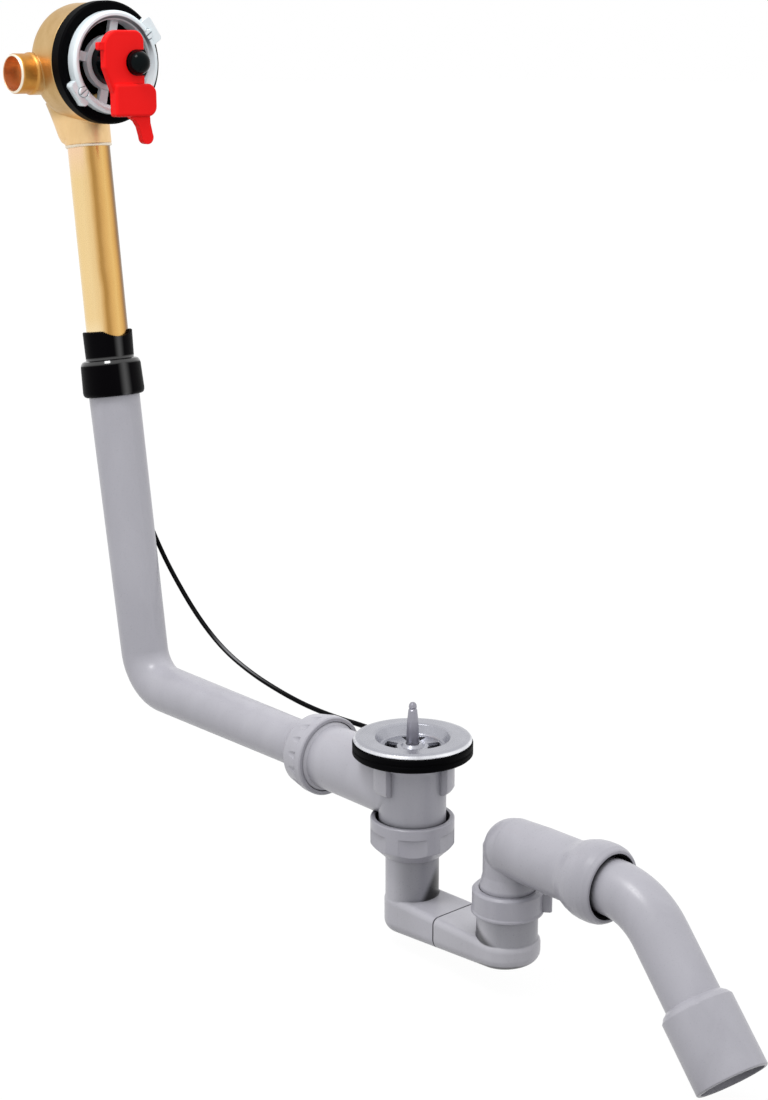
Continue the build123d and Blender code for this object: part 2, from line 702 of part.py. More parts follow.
# Route of the control cable: from the upper gland down behind the leg, then along the branch
def cable_route():
    start = head_centre + head_out * pulley_middle + Vector(0, pulley_wrap_radius, 0) - head_up * 26.2
    straight = start - head_up * 18
    behind = []
    for height, out, side in ((150, -26.0, 9.0), (110, -25.0, 10.0), (65, -24.5, 11.0), (15, -24.5, 12.0)):
        behind.append(kink + tube_up * height + tube_out * out + Vector(0, side, 0))
    for height, out, side in ((176, -23.0, 13.5), (136, -16.5, 17.5)):
        behind.append(corner + leg_up * height + leg_out * out + Vector(0, side, 0))
    seen = (
        (-280.6, 20.5, 63.5), (-263.6, 21.7, 42.6), (-239.8, 23.0, 19.4), (-214.3, 24.2, 2.4),
        (-186.1, 25.4, -7.8), (-156.4, 26.3, -13.9), (-129.0, 27.1, -17.4),
        (-102.0, lever_middle, -18.3), (-75.0, lever_middle, wire_z))
    end = (-50.3, lever_middle, wire_z)
    points = [tuple(start), tuple(straight)] + [tuple(point) for point in behind] + list(seen) + [end]
    return points


def make_control_cable():
    return single(swept(smooth_path(cable_route()), cable_radius))


def make_waste_gland():
    gland = turned(
        (1.1, 26), (3.4, 26), (5.4, 27), (5.4, 33.6), (3.5, 33.9), (3.5, 46.4), (5.4, 46.4), (5.4, 50),
        (3.8, 50.6),
        (3.8, 60), (3.2, 60.8), (cable_radius + push_clearance, 60.8),
        (cable_radius + push_clearance, 50), (1.1, 50))
    return single(Plane(origin=(0, lever_middle, wire_z), x_dir=(0, 1, 0), z_dir=(-1, 0, 0)) * gland)


def make_wire_end():
    rest = rocker_x + lever_height * tan(radians(rocker_swing))
    wire = Plane(origin=(0, lever_middle, wire_z), x_dir=(0, 1, 0), z_dir=(-1, 0, 0)) * bar(
        wire_radius, -rest, 36)
    half = lever_thickness / 2
    nipple = Plane(origin=(rest, lever_middle, wire_z), z_dir=(0, 1, 0)) * bar(
        nipple_radius, -half + 0.2, half - 0.2)
    return single(wire + nipple)


def make_rocker_shaft():
    shaft = Plane(origin=(rocker_x, 0, rocker_z), z_dir=(0, 1, 0)) * turned(
        (0, -17), (rocker_radius, -17), (rocker_radius, 16.2), (rocker_radius - 0.7, 16.2),
        (rocker_radius - 0.7, 17.8),
        (rocker_radius, 17.8), (rocker_radius, lever_middle + 3.4), (rocker_radius - 0.5, lever_middle + 3.9),
        (0, lever_middle + 3.9))
    return shaft


def make_shaft_seal():
    ring = turned(
        (rocker_radius - 0.65, 16.35), (rocker_radius - 0.2, 16.35), (rocker_radius, 16.6),
        (rocker_radius, 17.4),
        (rocker_radius - 0.2, 17.65), (rocker_radius - 0.65, 17.65))
    return Plane(origin=(rocker_x, 0, rocker_z), z_dir=(0, 1, 0)) * ring


def make_lift_finger():
    hub = bar(4.2, -3, 3)
    nose = Pos(finger_length, 0, 0) * bar(finger_nose, -3, 3)
    arm = extrude(make_face(Polyline(
        (0.4, 3.9), (finger_length, finger_nose - 0.2), (finger_length, -finger_nose + 0.2), (0.4, -3.9),
        close=True)), 6)
    finger = hub + nose + Pos(0, 0, -3) * arm - bar(rocker_radius + 0.03, -5, 5)
    return single(rocker_frame * (Rot(0, 0, -rocker_swing) * finger))


def make_cable_lever():
    half = lever_thickness / 2
    hub = bar(5.2, -half, half)
    reach = lever_height + 4.8
    arm = block((-3.9, 0, -half), (3.9, reach, half))
    arm = fillet(arm.edges().filter_by(Axis.Z).sort_by(Axis.Y)[-2:], 3.0)
    lever = hub + arm - bar(rocker_radius + 0.03, -5, 5)
    slot = block((-nipple_radius - 0.3, lever_height - 0.4, -5), (nipple_radius + 0.3, lever_height + 1.6, 5))
    slot = slot + Pos(0, lever_height - 0.4, 0) * bar(nipple_radius + 0.3, -5, 5)
    slot = slot + Pos(0, lever_height + 1.6, 0) * bar(nipple_radius + 0.3, -5, 5)
    slit = block((-6, lever_height - 4.6, -1.1), (0, lever_height + 6, 1.1))
    lever = lever - slot - slit
    placed = Plane(origin=(rocker_x, lever_middle, rocker_z), x_dir=(1, 0, 0), z_dir=(0, -1, 0))
    return single(placed * (Rot(0, 0, -rocker_swing) * lever))


def make_lift_pin():
    pin = turned(
        (0, pin_foot + 2.5), (2.5, pin_foot + 2.5), (2.5, -25.5), (pin_radius, -24.2), (pin_radius, 2.0),
        (3.3, 12.0), (2.6, 18.8), (2.2, 19.2), (2.2, 20.2), (2.4, 20.6), (2.1, 22.2), (1.4, 23.2),
        (0, pin_tip))
    return single(pin + Pos(0, 0, pin_foot + 2.5) * Sphere(2.5))


# Outside or, with an inset, inside of the low part of the trap
def trap_channel(inset):
    first = trap_inlet_half - inset
    second = trap_outlet_half - inset
    lean = acos((second - first) / riser_x)
    side = (cos(lean), sin(lean))
    top = trap_top - inset
    outline = Polyline(
        (-first * side[0], first * side[1]), (riser_x - second * side[0], second * side[1]),
        (riser_x - second * side[0], -second * side[1]), (-first * side[0], -first * side[1]), close=True)
    deep = 60.0
    shape = Pos(0, 0, top - deep) * extrude(make_face(outline), deep)
    shape = shape + bar(first, top - deep, top)
    shape = shape + Pos(riser_x, 0, 0) * bar(second, top - deep, top)
    slope = (trap_high - trap_low) / riser_x
    low_face = [(-60, trap_low - 60 * slope), (150, trap_low + 150 * slope)]
    under = extrude(Plane.XZ * make_face(Polyline(
        (low_face[0][0], low_face[0][1] + inset), (low_face[1][0], low_face[1][1] + inset),
        (150, -220), (-60, -220),
        close=True)), 80, both=True)
    shape = shape - under
    low_edges = shape.faces().sort_by(Axis.Z)[0].edges()
    shape = fillet(low_edges, 7.5 - inset)
    top_edges = shape.faces().sort_by(Axis.Z)[-1].edges()
    return fillet(top_edges, trap_shoulder - 0.6 * inset)


def make_trap_shell():
    outer = trap_channel(0)
    outer = outer + bar(pipe_radius, trap_top - 10, -48)
    outer = outer + Pos(riser_x, 0, 0) * bar(riser_radius, trap_top - 8, riser_top)
    inner = trap_channel(trap_wall)
    inner = inner + bar(pipe_bore, trap_top - 10, -40)
    inner = inner + Pos(riser_x, 0, 0) * bar(pipe_bore, trap_top - 8, riser_top + 1)
    inner = inner + Pos(riser_x, 0, 0) * bar(socket_radius, elbow_spigot_end - 0.4, riser_top + 1)
    return outer - inner


def make_trap_inlet(shell):
    left = shell & block((-60, -60, -160), (trap_seam - seam_half_gap, 60, 0))
    tongue = (trap_channel(1.3) - trap_channel(trap_wall)) & block(
        (trap_seam - 1, -60, -160), (trap_seam + 5, 60, 0))
    return single(left + tongue)


def make_trap_outlet(shell):
    right = shell & block((trap_seam + seam_half_gap, -60, -160), (180, 60, 0))
    rebate = trap_channel(1.2) & block((trap_seam - 1, -60, -160), (trap_seam + 5.2, 60, 0))
    return single(right - rebate)


def make_riser_nut():
    bore = riser_radius + thread_clearance
    nut = turned(
        (bore, riser_nut_bottom), (riser_nut_radius, riser_nut_bottom),
        (riser_nut_radius + 0.5, riser_nut_bottom + 0.5),
        (riser_nut_radius + 0.5, riser_nut_bottom + 1.6), (riser_nut_radius, riser_nut_bottom + 2.2),
        (riser_nut_radius, riser_nut_top - 1.4), (riser_nut_radius - 1.4, riser_nut_top),
        (socket_radius, riser_nut_top), (socket_radius, riser_nut_top - 1.4), (bore, riser_top - 0.2))
    lug = block(
        (riser_nut_radius - 1.5, -2.2, riser_nut_bottom + 1),
        (riser_nut_radius + 5.2, 2.2, riser_nut_top - 3))
    lug = fillet(lug.edges().filter_by(Axis.Z).sort_by(Axis.X)[-2:], 1.6)
    return single(Pos(riser_x, 0, 0) * (nut + Rot(0, 0, 40) * lug))


def make_riser_cone_seal():
    ring = turned(
        (pipe_radius + push_clearance, riser_top + 0.1), (17.4, riser_top + 0.1), (17.2, riser_top + 0.6),
        (16.45, riser_nut_top - 2.1), (pipe_radius + push_clearance, riser_nut_top - 2.1))
    return Pos(riser_x, 0, 0) * ring


def make_outlet_elbow():
    bulb_x = riser_x + bulb_offset
    outer = Pos(bulb_x, 0, elbow_z - 0.6) * Sphere(bulb_radius)
    outer = outer + Pos(riser_x, 0, 0) * turned(
        (0, elbow_spigot_end), (pipe_radius, elbow_spigot_end), (pipe_radius, -64.5),
        (pipe_radius - 0.6, -62.5),
        (waist_radius, -58), (waist_radius, elbow_z), (0, elbow_z))
    outer = outer + outlet_frame * turned(
        (0, bulb_x), (bulb_radius, bulb_x), (elbow_radius, 104), (elbow_radius, 129.5), (18.2, 132),
        (20.6, 137.5),
        (21.9, 142), (outlet_socket_radius, 146), (outlet_socket_radius, 151), (21.8, 154.5), (20.6, 156.8),
        (19.8, outlet_socket_end), (0, outlet_socket_end))
    inner = Pos(bulb_x, 0, elbow_z - 0.6) * Sphere(bulb_radius - 2.4)
    inner = inner + Pos(riser_x, 0, 0) * turned(
        (0, elbow_spigot_end - 1), (pipe_bore, elbow_spigot_end - 1), (pipe_bore, -66),
        (waist_radius - 2.2, -58),
        (waist_radius - 2.2, elbow_z), (0, elbow_z))
    seat = outlet_pipe_socket
    inner = inner + outlet_frame * turned(
        (0, bulb_x), (bulb_radius - 2.4, bulb_x), (elbow_bore, 104), (elbow_bore, outlet_socket_shoulder - 2),
        (outlet_pipe_bore, outlet_socket_shoulder), (seat, outlet_socket_shoulder),
        (seat, 147), (19.2, 147), (19.2, 155.5), (18.4, 155.5), (18.4, outlet_socket_end + 1),
        (0, outlet_socket_end + 1))
    return single(outer - inner)


def make_outlet_seal():
    lip = outlet_pipe_radius + push_clearance
    ring = turned(
        (lip, 150.5), (17.0, 147.1), (19.1, 147.1), (19.1, 155.4), (18.3, 155.4),
        (18.3, 156.2), (17.2, 156.2), (16.4, 153.5), (lip, 152))
    return outlet_frame * ring


def make_outlet_bend():
    ahead = Vector(cos(radians(bend_angle)), 0, -sin(radians(bend_angle)))
    turn_point = Vector(bend_corner_x, 0, elbow_z)
    end = turn_point + ahead * bend_length
    path = FilletPolyline(
        (outlet_socket_shoulder + 0.4, 0, elbow_z), tuple(turn_point), tuple(end), radius=bend_radius)
    end_frame = Plane(origin=turn_point, x_dir=(0, 1, 0), z_dir=ahead)
    step = bend_length - outlet_end_length
    outer = swept(path, outlet_pipe_radius) + end_frame * turned(
        (0, step - 3), (outlet_pipe_radius, step - 3), (18.2, step - 1.0), (outlet_end_radius, step + 1.5),
        (outlet_end_radius, bend_length - 0.6), (outlet_end_radius - 0.6, bend_length), (0, bend_length))
    inner = swept(path, outlet_pipe_bore) + end_frame * turned(
        (0, step), (outlet_pipe_bore, step), (16.4, step + 2.4), (outlet_end_bore, step + 5),
        (outlet_end_bore, bend_length + 1), (0, bend_length + 1))
    bend = single(outer - inner)
    return bend.rotate(Axis((0, 0, elbow_z), (1, 0, 0)), -bend_roll)


shell = make_trap_shell()
nodes = {
    "waste_flange": make_waste_flange(),
    "waste_seal": make_waste_seal(),
    "waste_body": make_waste_body(),
    "trap_nut": make_trap_nut(),
    "trap_cone_seal": make_trap_cone_seal(),
    "overflow_nut": make_overflow_nut(),
    "overflow_cone_seal": make_overflow_cone_seal(),
    "overflow_pipe": make_overflow_pipe(),
    "coupling_sleeve": make_coupling_sleeve(),
    "riser_tube": make_riser_tube(),
    "overflow_body": make_overflow_body(),
    "rear_cap": make_rear_cap(),
    "overflow_seal": make_overflow_seal(),
    "clamp_ring": make_clamp_ring(),
    "clamp_screws": make_clamp_screws(),
    "spindle_bush": make_spindle_bush(),
    "control_spindle": make_control_spindle(),
    "spindle_seal": make_spindle_seal(),
    "cable_pulley": make_cable_pulley(),
    "fitting_guard": make_fitting_guard(),
    "head_gland": make_head_gland(),
    "head_wire": make_head_wire(),
    "control_cable": make_control_cable(),
    "waste_gland": make_waste_gland(),
    "wire_end": make_wire_end(),
    "rocker_shaft": make_rocker_shaft(),
    "shaft_seal": make_shaft_seal(),
    "lift_finger": make_lift_finger(),
    "cable_lever": make_cable_lever(),
    "lift_pin": make_lift_pin(),
    "trap_inlet": make_trap_inlet(shell),
    "trap_outlet": make_trap_outlet(shell),
    "riser_nut": make_riser_nut(),
    "riser_cone_seal": make_riser_cone_seal(),
    "outlet_elbow": make_outlet_elbow(),
    "outlet_seal": make_outlet_seal(),
    "outlet_bend": make_outlet_bend(),
}

os.makedirs("parts", exist_ok=True)
for name, shape in nodes.items():
    export_step(shape, "parts/" + name + ".step")
    box = shape.bounding_box()
    corners = [round(value, 1) for value in (*box.min, *box.max)]
    print(name, len(shape.solids()), round(shape.volume, 1), corners)
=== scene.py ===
import json
import math

import bmesh
import bpy
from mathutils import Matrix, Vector


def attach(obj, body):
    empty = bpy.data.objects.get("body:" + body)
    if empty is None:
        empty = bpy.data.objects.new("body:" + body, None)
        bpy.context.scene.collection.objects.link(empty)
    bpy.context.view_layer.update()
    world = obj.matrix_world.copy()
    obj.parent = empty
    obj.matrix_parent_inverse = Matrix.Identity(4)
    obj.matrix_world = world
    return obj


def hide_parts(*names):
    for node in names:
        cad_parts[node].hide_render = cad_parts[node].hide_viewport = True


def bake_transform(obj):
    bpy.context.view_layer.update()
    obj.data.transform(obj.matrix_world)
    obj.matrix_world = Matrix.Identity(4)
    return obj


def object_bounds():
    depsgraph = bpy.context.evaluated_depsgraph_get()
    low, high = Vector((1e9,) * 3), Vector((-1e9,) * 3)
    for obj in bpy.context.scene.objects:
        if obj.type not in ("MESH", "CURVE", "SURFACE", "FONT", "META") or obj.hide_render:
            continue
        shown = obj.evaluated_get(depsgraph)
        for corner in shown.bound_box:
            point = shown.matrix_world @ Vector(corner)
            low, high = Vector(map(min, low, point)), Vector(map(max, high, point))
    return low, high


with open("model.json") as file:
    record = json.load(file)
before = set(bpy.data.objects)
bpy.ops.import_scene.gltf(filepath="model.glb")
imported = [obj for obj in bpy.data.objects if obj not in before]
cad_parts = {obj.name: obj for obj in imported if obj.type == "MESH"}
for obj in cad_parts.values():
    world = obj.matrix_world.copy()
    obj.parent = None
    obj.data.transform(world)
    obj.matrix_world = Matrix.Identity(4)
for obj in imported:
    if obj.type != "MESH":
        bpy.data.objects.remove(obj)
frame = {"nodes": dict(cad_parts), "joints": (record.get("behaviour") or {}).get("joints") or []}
cadLow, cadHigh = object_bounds()
nodes = frame["nodes"]
joints = {joint["name"]: joint for joint in frame["joints"]}
mm = 0.001

# Places of the main pieces in the frame, from sizes in degrees and millimetres
overflowRun = {"tubeLean": 6.8, "legLean": 8.65, "neckLength": 53.5, "tubeLength": 196.9}


def leaning(angle):
    up = Vector((-math.sin(angle), 0, math.cos(angle)))
    out = Vector((math.cos(angle), 0, math.sin(angle)))
    return up, out


partFront = Vector((1, 0, 0))
partSide = Vector((0, 1, 0))
partUp = Vector((0, 0, 1))
wasteCentre = Vector((0, 0, 0))
headCentre = Vector(joints["spindle_turn"]["pos_m"])
headOut = Vector(joints["spindle_turn"]["axis"]).normalized()
tubeLean = math.radians(overflowRun["tubeLean"])
tubeUp, tubeOut = leaning(tubeLean)
legUp, legOut = leaning(math.radians(overflowRun["legLean"]))
neckEnd = headCentre - tubeUp * overflowRun["neckLength"] * mm
kink = headCentre - tubeUp * overflowRun["tubeLength"] * mm


# Colour as it is seen, from 0 to 255, in the renderer's own values
def seen(*levels):
    shades = [level / 255 for level in levels]
    return tuple(s / 12.92 if s <= 0.04045 else ((s + 0.055) / 1.055) ** 2.4 for s in shades)


# Node trees
def addNode(tree, kind, settings=None, inputs=None):
    made = tree.nodes.new(kind)
    for name, value in (settings or {}).items():
        setattr(made, name, value)
    for name, value in (inputs or {}).items():
        made.inputs[name].default_value = value
    return made


def join(tree, start, end):
    tree.links.new(start, end)


def feed(tree, value, socket):
    if isinstance(value, (int, float)):
        socket.default_value = value
    elif isinstance(value, (tuple, list, Vector)):
        wide = len(socket.default_value)
        socket.default_value = tuple(value) + (1.0,) * (wide - len(value))
    else:
        join(tree, value, socket)


def mathNode(tree, operation, first, second=None):
    made = addNode(tree, "ShaderNodeMath", {"operation": operation})
    feed(tree, first, made.inputs[0])
    if second is not None:
        feed(tree, second, made.inputs[1])
    return made.outputs[0]


def product(tree, first, *others):
    for other in others:
        first = mathNode(tree, "MULTIPLY", first, other)
    return first


def vectorNode(tree, operation, first, second, output="Vector"):
    made = addNode(tree, "ShaderNodeVectorMath", {"operation": operation})
    feed(tree, first, made.inputs[0])
    feed(tree, second, made.inputs[1])
    return made.outputs[output]


def mixColour(tree, share, first, second):
    made = addNode(tree, "ShaderNodeMix", {"data_type": "RGBA", "clamp_factor": True})
    for index, value in ((0, share), (6, first), (7, second)):  # sockets Factor, A and B for colours
        feed(tree, value, made.inputs[index])
    return made.outputs[2]


# Value brought from one range to another and held at its ends
def spread(tree, value, low, high, outLow=0.0, outHigh=1.0, smooth=False):
    kind = "SMOOTHSTEP" if smooth else "LINEAR"
    limits = {"From Min": low, "From Max": high, "To Min": outLow, "To Max": outHigh}
    made = addNode(tree, "ShaderNodeMapRange", {"clamp": True, "interpolation_type": kind}, limits)
    join(tree, value, made.inputs["Value"])
    return made.outputs["Result"]


# One between two limits, fading over a soft edge at each
def band(tree, value, low, high, soft):
    rise = spread(tree, value, low - soft, low + soft, smooth=True)
    fall = spread(tree, value, high - soft, high + soft, 1.0, 0.0, smooth=True)
    return mathNode(tree, "MULTIPLY", rise, fall)


def startGroup(name, inputs, outputs):
    group = bpy.data.node_groups.new(name, "ShaderNodeTree")
    for label, default in inputs:
        kind = "NodeSocketVector" if isinstance(default, tuple) else "NodeSocketFloat"
        socket = group.interface.new_socket(label, in_out="INPUT", socket_type=kind)
        socket.default_value = default
    for label in outputs:
        group.interface.new_socket(label, in_out="OUTPUT", socket_type="NodeSocketFloat")
    start = group.nodes.new("NodeGroupInput")
    end = group.nodes.new("NodeGroupOutput")
    return group, start, end


# Fine skin and broad clouding of a moulded or cast surface
def makeSkinGroup():
    inputs = [("Fine Scale", 900.0), ("Cloud Scale", 26.0), ("Stretch", 1.0)]
    group, start, end = startGroup("skin", inputs, ["Fine", "Cloud"])
    place = addNode(group, "ShaderNodeTexCoord")
    squeeze = addNode(group, "ShaderNodeCombineXYZ", inputs={0: 1.0, 1: 1.0})
    join(group, start.outputs["Stretch"], squeeze.inputs[2])
    stretched = vectorNode(group, "MULTIPLY", place.outputs["Object"], squeeze.outputs[0])
    fine = addNode(group, "ShaderNodeTexNoise", inputs={"Detail": 2.0, "Roughness": 0.55})
    join(group, place.outputs["Object"], fine.inputs["Vector"])
    join(group, start.outputs["Fine Scale"], fine.inputs["Scale"])
    cloudSet = {"Detail": 4.0, "Roughness": 0.6, "Distortion": 0.5}
    cloud = addNode(group, "ShaderNodeTexNoise", inputs=cloudSet)
    join(group, stretched, cloud.inputs["Vector"])
    join(group, start.outputs["Cloud Scale"], cloud.inputs["Scale"])
    join(group, fine.outputs[0], end.inputs["Fine"])
    join(group, cloud.outputs[0], end.inputs["Cloud"])
    return group


# How deep a point sits in a gap or corner
def makeGapGroup():
    group, start, end = startGroup("gapDepth", [("Reach", 0.004)], ["Depth"])
    shade = addNode(group, "ShaderNodeAmbientOcclusion", {"samples": 6})
    join(group, start.outputs["Reach"], shade.inputs["Distance"])
    join(group, mathNode(group, "SUBTRACT", 1.0, shade.outputs["AO"]), end.inputs["Depth"])
    return group


# Lines left by drawing or turning: noise drawn out up the part or round it
def makeToolLineGroup():
    inputs = [("Scale", 900.0), ("Along", 1.0), ("Across", 0.02)]
    group, start, end = startGroup("toolLines", inputs, ["Line"])
    place = addNode(group, "ShaderNodeTexCoord")
    stretch = addNode(group, "ShaderNodeCombineXYZ")
    join(group, start.outputs["Along"], stretch.inputs[0])
    join(group, start.outputs["Along"], stretch.inputs[1])
    join(group, start.outputs["Across"], stretch.inputs[2])
    drawn = vectorNode(group, "MULTIPLY", place.outputs["Object"], stretch.outputs[0])
    noise = addNode(group, "ShaderNodeTexNoise", inputs={"Detail": 3.0, "Roughness": 0.6})
    join(group, drawn, noise.inputs["Vector"])
    join(group, start.outputs["Scale"], noise.inputs["Scale"])
    join(group, noise.outputs[0], end.inputs["Line"])
    return group


# Place about an axis: distance along it, distance from it, and turn round it in degrees
def makeAxisGroup():
    inputs = [("Centre", (0.0, 0.0, 0.0)), ("Axis", (0.0, 0.0, 1.0)), ("Front", (1.0, 0.0, 0.0)),
              ("Side", (0.0, 1.0, 0.0))]
    group, start, end = startGroup("axisPlace", inputs, ["Along", "Away", "Turn"])
    place = addNode(group, "ShaderNodeTexCoord")
    moved = vectorNode(group, "SUBTRACT", place.outputs["Object"], start.outputs["Centre"])
    along = vectorNode(group, "DOT_PRODUCT", moved, start.outputs["Axis"], "Value")
    ahead = vectorNode(group, "DOT_PRODUCT", moved, start.outputs["Front"], "Value")
    aside = vectorNode(group, "DOT_PRODUCT", moved, start.outputs["Side"], "Value")
    square = mathNode(group, "ADD", mathNode(group, "MULTIPLY", ahead, ahead),
                      mathNode(group, "MULTIPLY", aside, aside))
    turn = mathNode(group, "MULTIPLY", mathNode(group, "ARCTAN2", aside, ahead), 180 / math.pi)
    join(group, along, end.inputs["Along"])
    join(group, mathNode(group, "SQRT", square), end.inputs["Away"])
    join(group, turn, end.inputs["Turn"])
    return group


skinGroup = makeSkinGroup()
gapGroup = makeGapGroup()
toolLineGroup = makeToolLineGroup()
axisGroup = makeAxisGroup()


def placeGroup(tree, group, **values):
    made = addNode(tree, "ShaderNodeGroup", {"node_tree": group})
    for name, value in values.items():
        socket = made.inputs[name.replace("_", " ")]
        socket.default_value = tuple(value) if isinstance(value, Vector) else value
    return made


def placeAxis(tree, centre, axis, front, side):
    return placeGroup(tree, axisGroup, Centre=centre, Axis=axis, Front=front, Side=side)


def startMaterial(name):
    material = bpy.data.materials.new(name)
    material.use_nodes = True
    tree = material.node_tree
    return material, tree, tree.nodes["Principled BSDF"]


def roundedNormal(tree, radius):
    made = addNode(tree, "ShaderNodeBevel", {"samples": 4}, {"Radius": radius})
    return made.outputs[0]


def addBump(tree, shader, height, strength, distance, under):
    bump = addNode(tree, "ShaderNodeBump", inputs={"Strength": strength, "Distance": distance})
    join(tree, height, bump.inputs["Height"])
    join(tree, under, bump.inputs["Normal"])
    join(tree, bump.outputs[0], shader.inputs["Normal"])


# Painted shade: colour darkened where the surface sits deep in a gap or corner
def paintGapShade(tree, colour, limits, reach, share, shade):
    gap = placeGroup(tree, gapGroup, Reach=reach)
    amount = spread(tree, gap.outputs["Depth"], *limits, 0.0, share)
    return mixColour(tree, amount, colour, shade)


# The same on every moulded finish
moulded = {
    "cloudScale": 30.0, "stretch": 0.35, "cloudLimits": (0.32, 0.68), "cornerLimits": (0.25, 0.85),
    "gapLimits": (0.45, 0.95), "fineLimits": (0.3, 0.7), "smoother": 0.05, "rougher": 0.07,
    "skinHeight": 0.2 * mm,
}


# Moulded plastic and rubber: clouded colour, painted shade in gaps and corners, fine skin
def mouldedMaterial(look, paint=None):
    material, tree, shader = startMaterial(look["name"])
    skin = placeGroup(
        tree, skinGroup, Fine_Scale=look["fineScale"], Cloud_Scale=moulded["cloudScale"],
        Stretch=moulded["stretch"])
    clouds = spread(tree, skin.outputs["Cloud"], *moulded["cloudLimits"])
    colour = mixColour(tree, clouds, look["dark"], look["pale"])
    if "cornerReach" in look:
        colour = paintGapShade(
            tree, colour, moulded["cornerLimits"], look["cornerReach"], look["cornerShare"],
            look["cornerShadeColour"])
    if paint:
        colour = paint(tree, shader, colour)
    colour = paintGapShade(
        tree, colour, moulded["gapLimits"], look["gapReach"], look["gapShare"], look["gapShadeColour"])
    join(tree, colour, shader.inputs["Base Color"])
    smoothest = look["rough"] - moulded["smoother"]
    roughest = look["rough"] + moulded["rougher"]
    roughness = spread(tree, skin.outputs["Fine"], *moulded["fineLimits"], smoothest, roughest)
    join(tree, roughness, shader.inputs["Roughness"])
    shader.inputs["Specular IOR Level"].default_value = look["specular"]
    under = roundedNormal(tree, look["edge"])
    addBump(tree, shader, skin.outputs["Fine"], look["skin"], moulded["skinHeight"], under)
    return material


# The gap and corner colours of each look below are painted shade, laid on by ambient occlusion
greyLook = {
    "name": "greyPlastic", "pale": seen(176, 175, 183), "dark": seen(166, 165, 173), "rough": 0.31,
    "gapShadeColour": seen(24, 25, 30), "gapReach": 7 * mm, "gapShare": 0.92, "edge": 0.8 * mm,
    "fineScale": 1100.0, "specular": 0.5, "skin": 0.16,
    "cornerReach": 40 * mm, "cornerShare": 0.48, "cornerShadeColour": seen(86, 87, 96),
}
sleeveLook = {
    "name": "sleeveRubber", "pale": seen(5, 4, 6), "dark": seen(2, 1, 3), "rough": 0.4,
    "gapShadeColour": seen(1, 1, 2), "gapReach": 4 * mm, "gapShare": 0.85, "edge": 1.2 * mm,
    "fineScale": 700.0, "specular": 0.03, "skin": 0.08,
    "strip": (-15.0, -2.0, 7.0), "shoulder": (-1.5 * mm, 3.0 * mm, 0.6 * mm), "sheenRoughness": 0.1,
    "sheenIndex": 1.72,
}
sealLook = {
    "name": "sealRubber", "pale": seen(4, 4, 6), "dark": seen(1, 1, 2), "rough": 0.5,
    "gapShadeColour": seen(1, 1, 1), "gapReach": 4 * mm, "gapShare": 0.85, "edge": 0.6 * mm,
    "fineScale": 1500.0, "specular": 0.03, "skin": 0.2,
}
guardLook = {
    "name": "guardRed", "pale": seen(255, 26, 26), "dark": seen(252, 24, 25), "rough": 0.42,
    "gapShadeColour": seen(120, 10, 12), "gapReach": 5 * mm, "gapShare": 0.75, "edge": 0.8 * mm,
    "fineScale": 1100.0, "specular": 0.1, "skin": 0.1,
}
ballLook = {
    "name": "blackPlastic", "pale": seen(4, 12, 14), "dark": seen(2, 6, 8), "rough": 0.12,
    "gapShadeColour": seen(1, 1, 1), "gapReach": 3 * mm, "gapShare": 0.85, "edge": 0.4 * mm,
    "fineScale": 1100.0, "specular": 0.07, "skin": 0.03,
}
leverLook = {
    "name": "leverPlastic", "pale": seen(148, 148, 152), "dark": seen(136, 136, 140), "rough": 0.45,
    "gapShadeColour": seen(36, 36, 38), "gapReach": 3 * mm, "gapShare": 0.85, "edge": 0.5 * mm,
    "fineScale": 1100.0, "specular": 0.5, "skin": 0.12,
}
jacketLook = {
    "name": "cableJacket", "pale": seen(6, 6, 8), "dark": seen(2, 2, 3), "rough": 0.3,
    "gapShadeColour": seen(1, 1, 1), "gapReach": 2 * mm, "gapShare": 0.85, "edge": 0.2 * mm,
    "fineScale": 2400.0, "specular": 0.05, "skin": 0.1,
    "glintPlace": (-183 * mm, 25.5 * mm, -8.5 * mm), "glintReach": (52 * mm, 8 * mm),
    "glintSide": (0.83, -0.38, 0.4), "glintTurn": (0.62, 0.9), "glintColour": seen(176, 176, 180),
}


# Painted highlight: a glossy coat along one side and over the shoulder, where the highlights fall
def paintSleeve(tree, shader, colour):
    look = sleeveLook
    cup = placeAxis(tree, kink, legUp, legOut, partSide)
    strip = band(tree, cup.outputs["Turn"], *look["strip"])
    shoulder = band(tree, cup.outputs["Along"], *look["shoulder"])
    join(tree, mathNode(tree, "MAXIMUM", strip, shoulder), shader.inputs["Coat Weight"])
    shader.inputs["Coat Roughness"].default_value = look["sheenRoughness"]
    shader.inputs["Coat IOR"].default_value = look["sheenIndex"]
    return colour


# Painted highlight: the jacket paled on one side, midway along its bow
def paintJacket(tree, shader, colour):
    look = jacketLook
    surface = addNode(tree, "ShaderNodeTexCoord")
    far = vectorNode(tree, "DISTANCE", surface.outputs["Object"], look["glintPlace"], "Value")
    facing = vectorNode(tree, "DOT_PRODUCT", surface.outputs["Normal"], look["glintSide"], "Value")
    share = product(
        tree, spread(tree, far, *look["glintReach"], smooth=True),
        spread(tree, facing, *look["glintTurn"], smooth=True))
    return mixColour(tree, share, colour, look["glintColour"])
